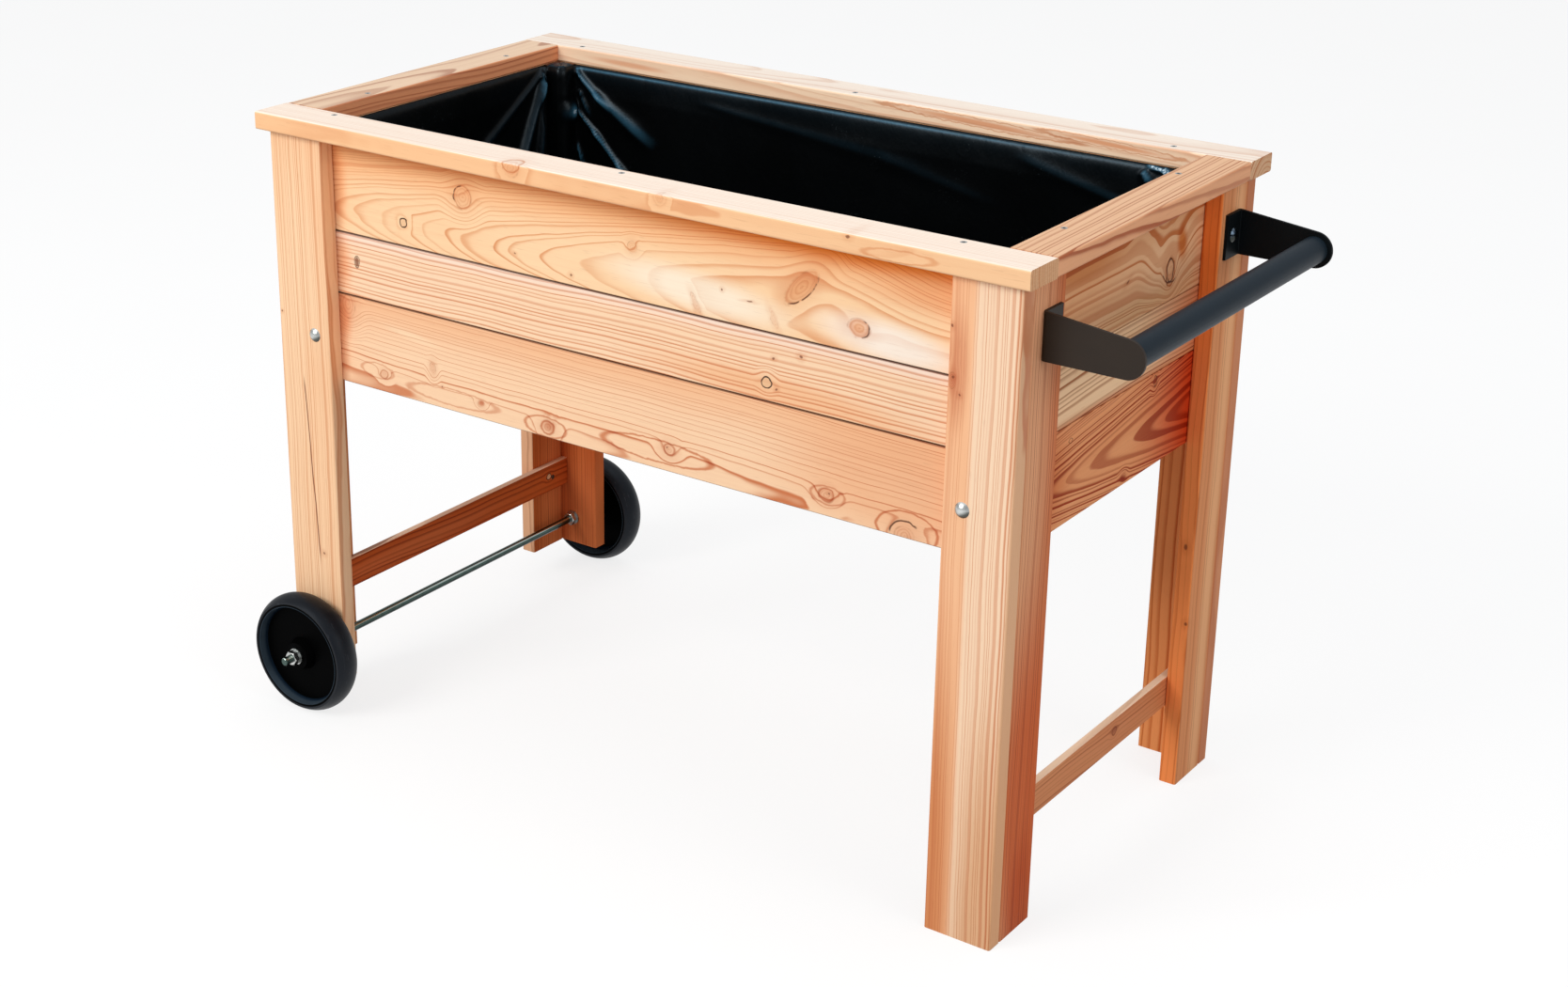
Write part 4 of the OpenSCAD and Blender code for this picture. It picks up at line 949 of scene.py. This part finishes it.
def moulded(name, tint, rough_level, grain_size, gloss, wear_and_sheen, lip=0.0):
    """Black plastic or rubber, scuffed as far as worn says; on the tyre these scuffs also stand in for a
    painted mottled sheen. lip: the radius of an edge with a painted highlight.
    """
    f = Finish(name)
    x, y, z = f.place()
    broad = f.noise(f.vector(x * 24, y * 24, z * 24), 3.0)
    speck = f.noise(f.vector(x * grain_size, y * grain_size, z * grain_size), 2.0)
    scuff = f.noise(f.vector(x * 60, y * 340, z * 60), 3.0, 0.6).rise(0.60, 0.78)
    colour = f.blend(broad, paint(*tint), paint(*[c * 1.35 for c in tint]))
    colour = f.blend(scuff * wear_and_sheen, colour, paint(88, 92, 100))
    # A painted highlight: a pale line on the lip's edge and a bluish band on its inner wall
    if lip:
        reach = ((x - axle_at.x) ** 2 + (z - axle_at.z) ** 2) ** 0.5
        edge = reach.rise(lip - 0.0020, lip - 0.0012) * reach.fall(lip + 0.0002, lip + 0.0014)
        colour = f.blend(edge * (broad * 0.6 + 0.3), colour, paint(70, 84, 96))
        wall = reach.rise(lip - 0.0045, lip - 0.0022) * reach.fall(lip - 0.0018, lip - 0.0008)
        colour = f.blend(wall * 0.5, colour, paint(28, 46, 64))
    rough = rough_level + (broad - 0.5) * 0.16 + scuff * 0.12
    return f.surface(
        Base_Color=colour, Roughness=rough, Specular_IOR_Level=gloss,
        Specular_Tint=(0.78, 0.88, 1.0, 1),
        Normal=f.bump(speck * 0.6 + scuff * 0.4, 0.25, 0.0005),
    )


plastic = moulded("wheel_plastic", (3, 3, 3), 0.40, 700, gloss=0.01, wear_and_sheen=0.010, lip=0.075)
# The tyre's grey-blue scuffs are partly wear and partly a painted mottled sheen.
rubber = moulded("tyre_rubber", (8, 10, 15), 0.44, 420, gloss=0.24, wear_and_sheen=0.28)
for side in ("front", "rear"):
    finish_node(side + "_wheel_disc", plastic)
    finish_node(side + "_wheel_tyre", rubber)


# Handle. A round steel tube welded between two bent plates, powder-coated in a dark slate.
# A bolt through each plate's flange holds it to a handle-end leg. The near plate catches a
# warmer light than the far one, so each has a tint of its own.
def coated(name, tint, rough_level, gloss):
    """A coat with the fine dimples of powder that has run together."""
    f = Finish(name)
    x, y, z = f.place()
    peel = f.noise(f.vector(x * 620, y * 620, z * 620), 2.0)
    broad = f.noise(f.vector(x * 30, y * 30, z * 30), 2.0)
    colour = f.blend(broad, paint(*tint), paint(*[c * 1.12 for c in tint]))
    rough = rough_level + (peel - 0.5) * 0.10 + (broad - 0.5) * 0.06
    return f.surface(
        Base_Color=colour, Roughness=rough, Specular_IOR_Level=gloss,
        Specular_Tint=(0.85, 0.92, 1.0, 1),
        Normal=f.bump(peel, 0.20, 0.0004),
    )


finish_node("handle_tube", coated("handle_tube", (24, 34, 42), 0.46, 0.12))
finish_node("front_handle_bracket", coated("near_handle_plate", (42, 33, 25), 0.50, 0.22))
finish_node("rear_handle_bracket", coated("far_handle_plate", (5, 9, 11), 0.50, 0.12))
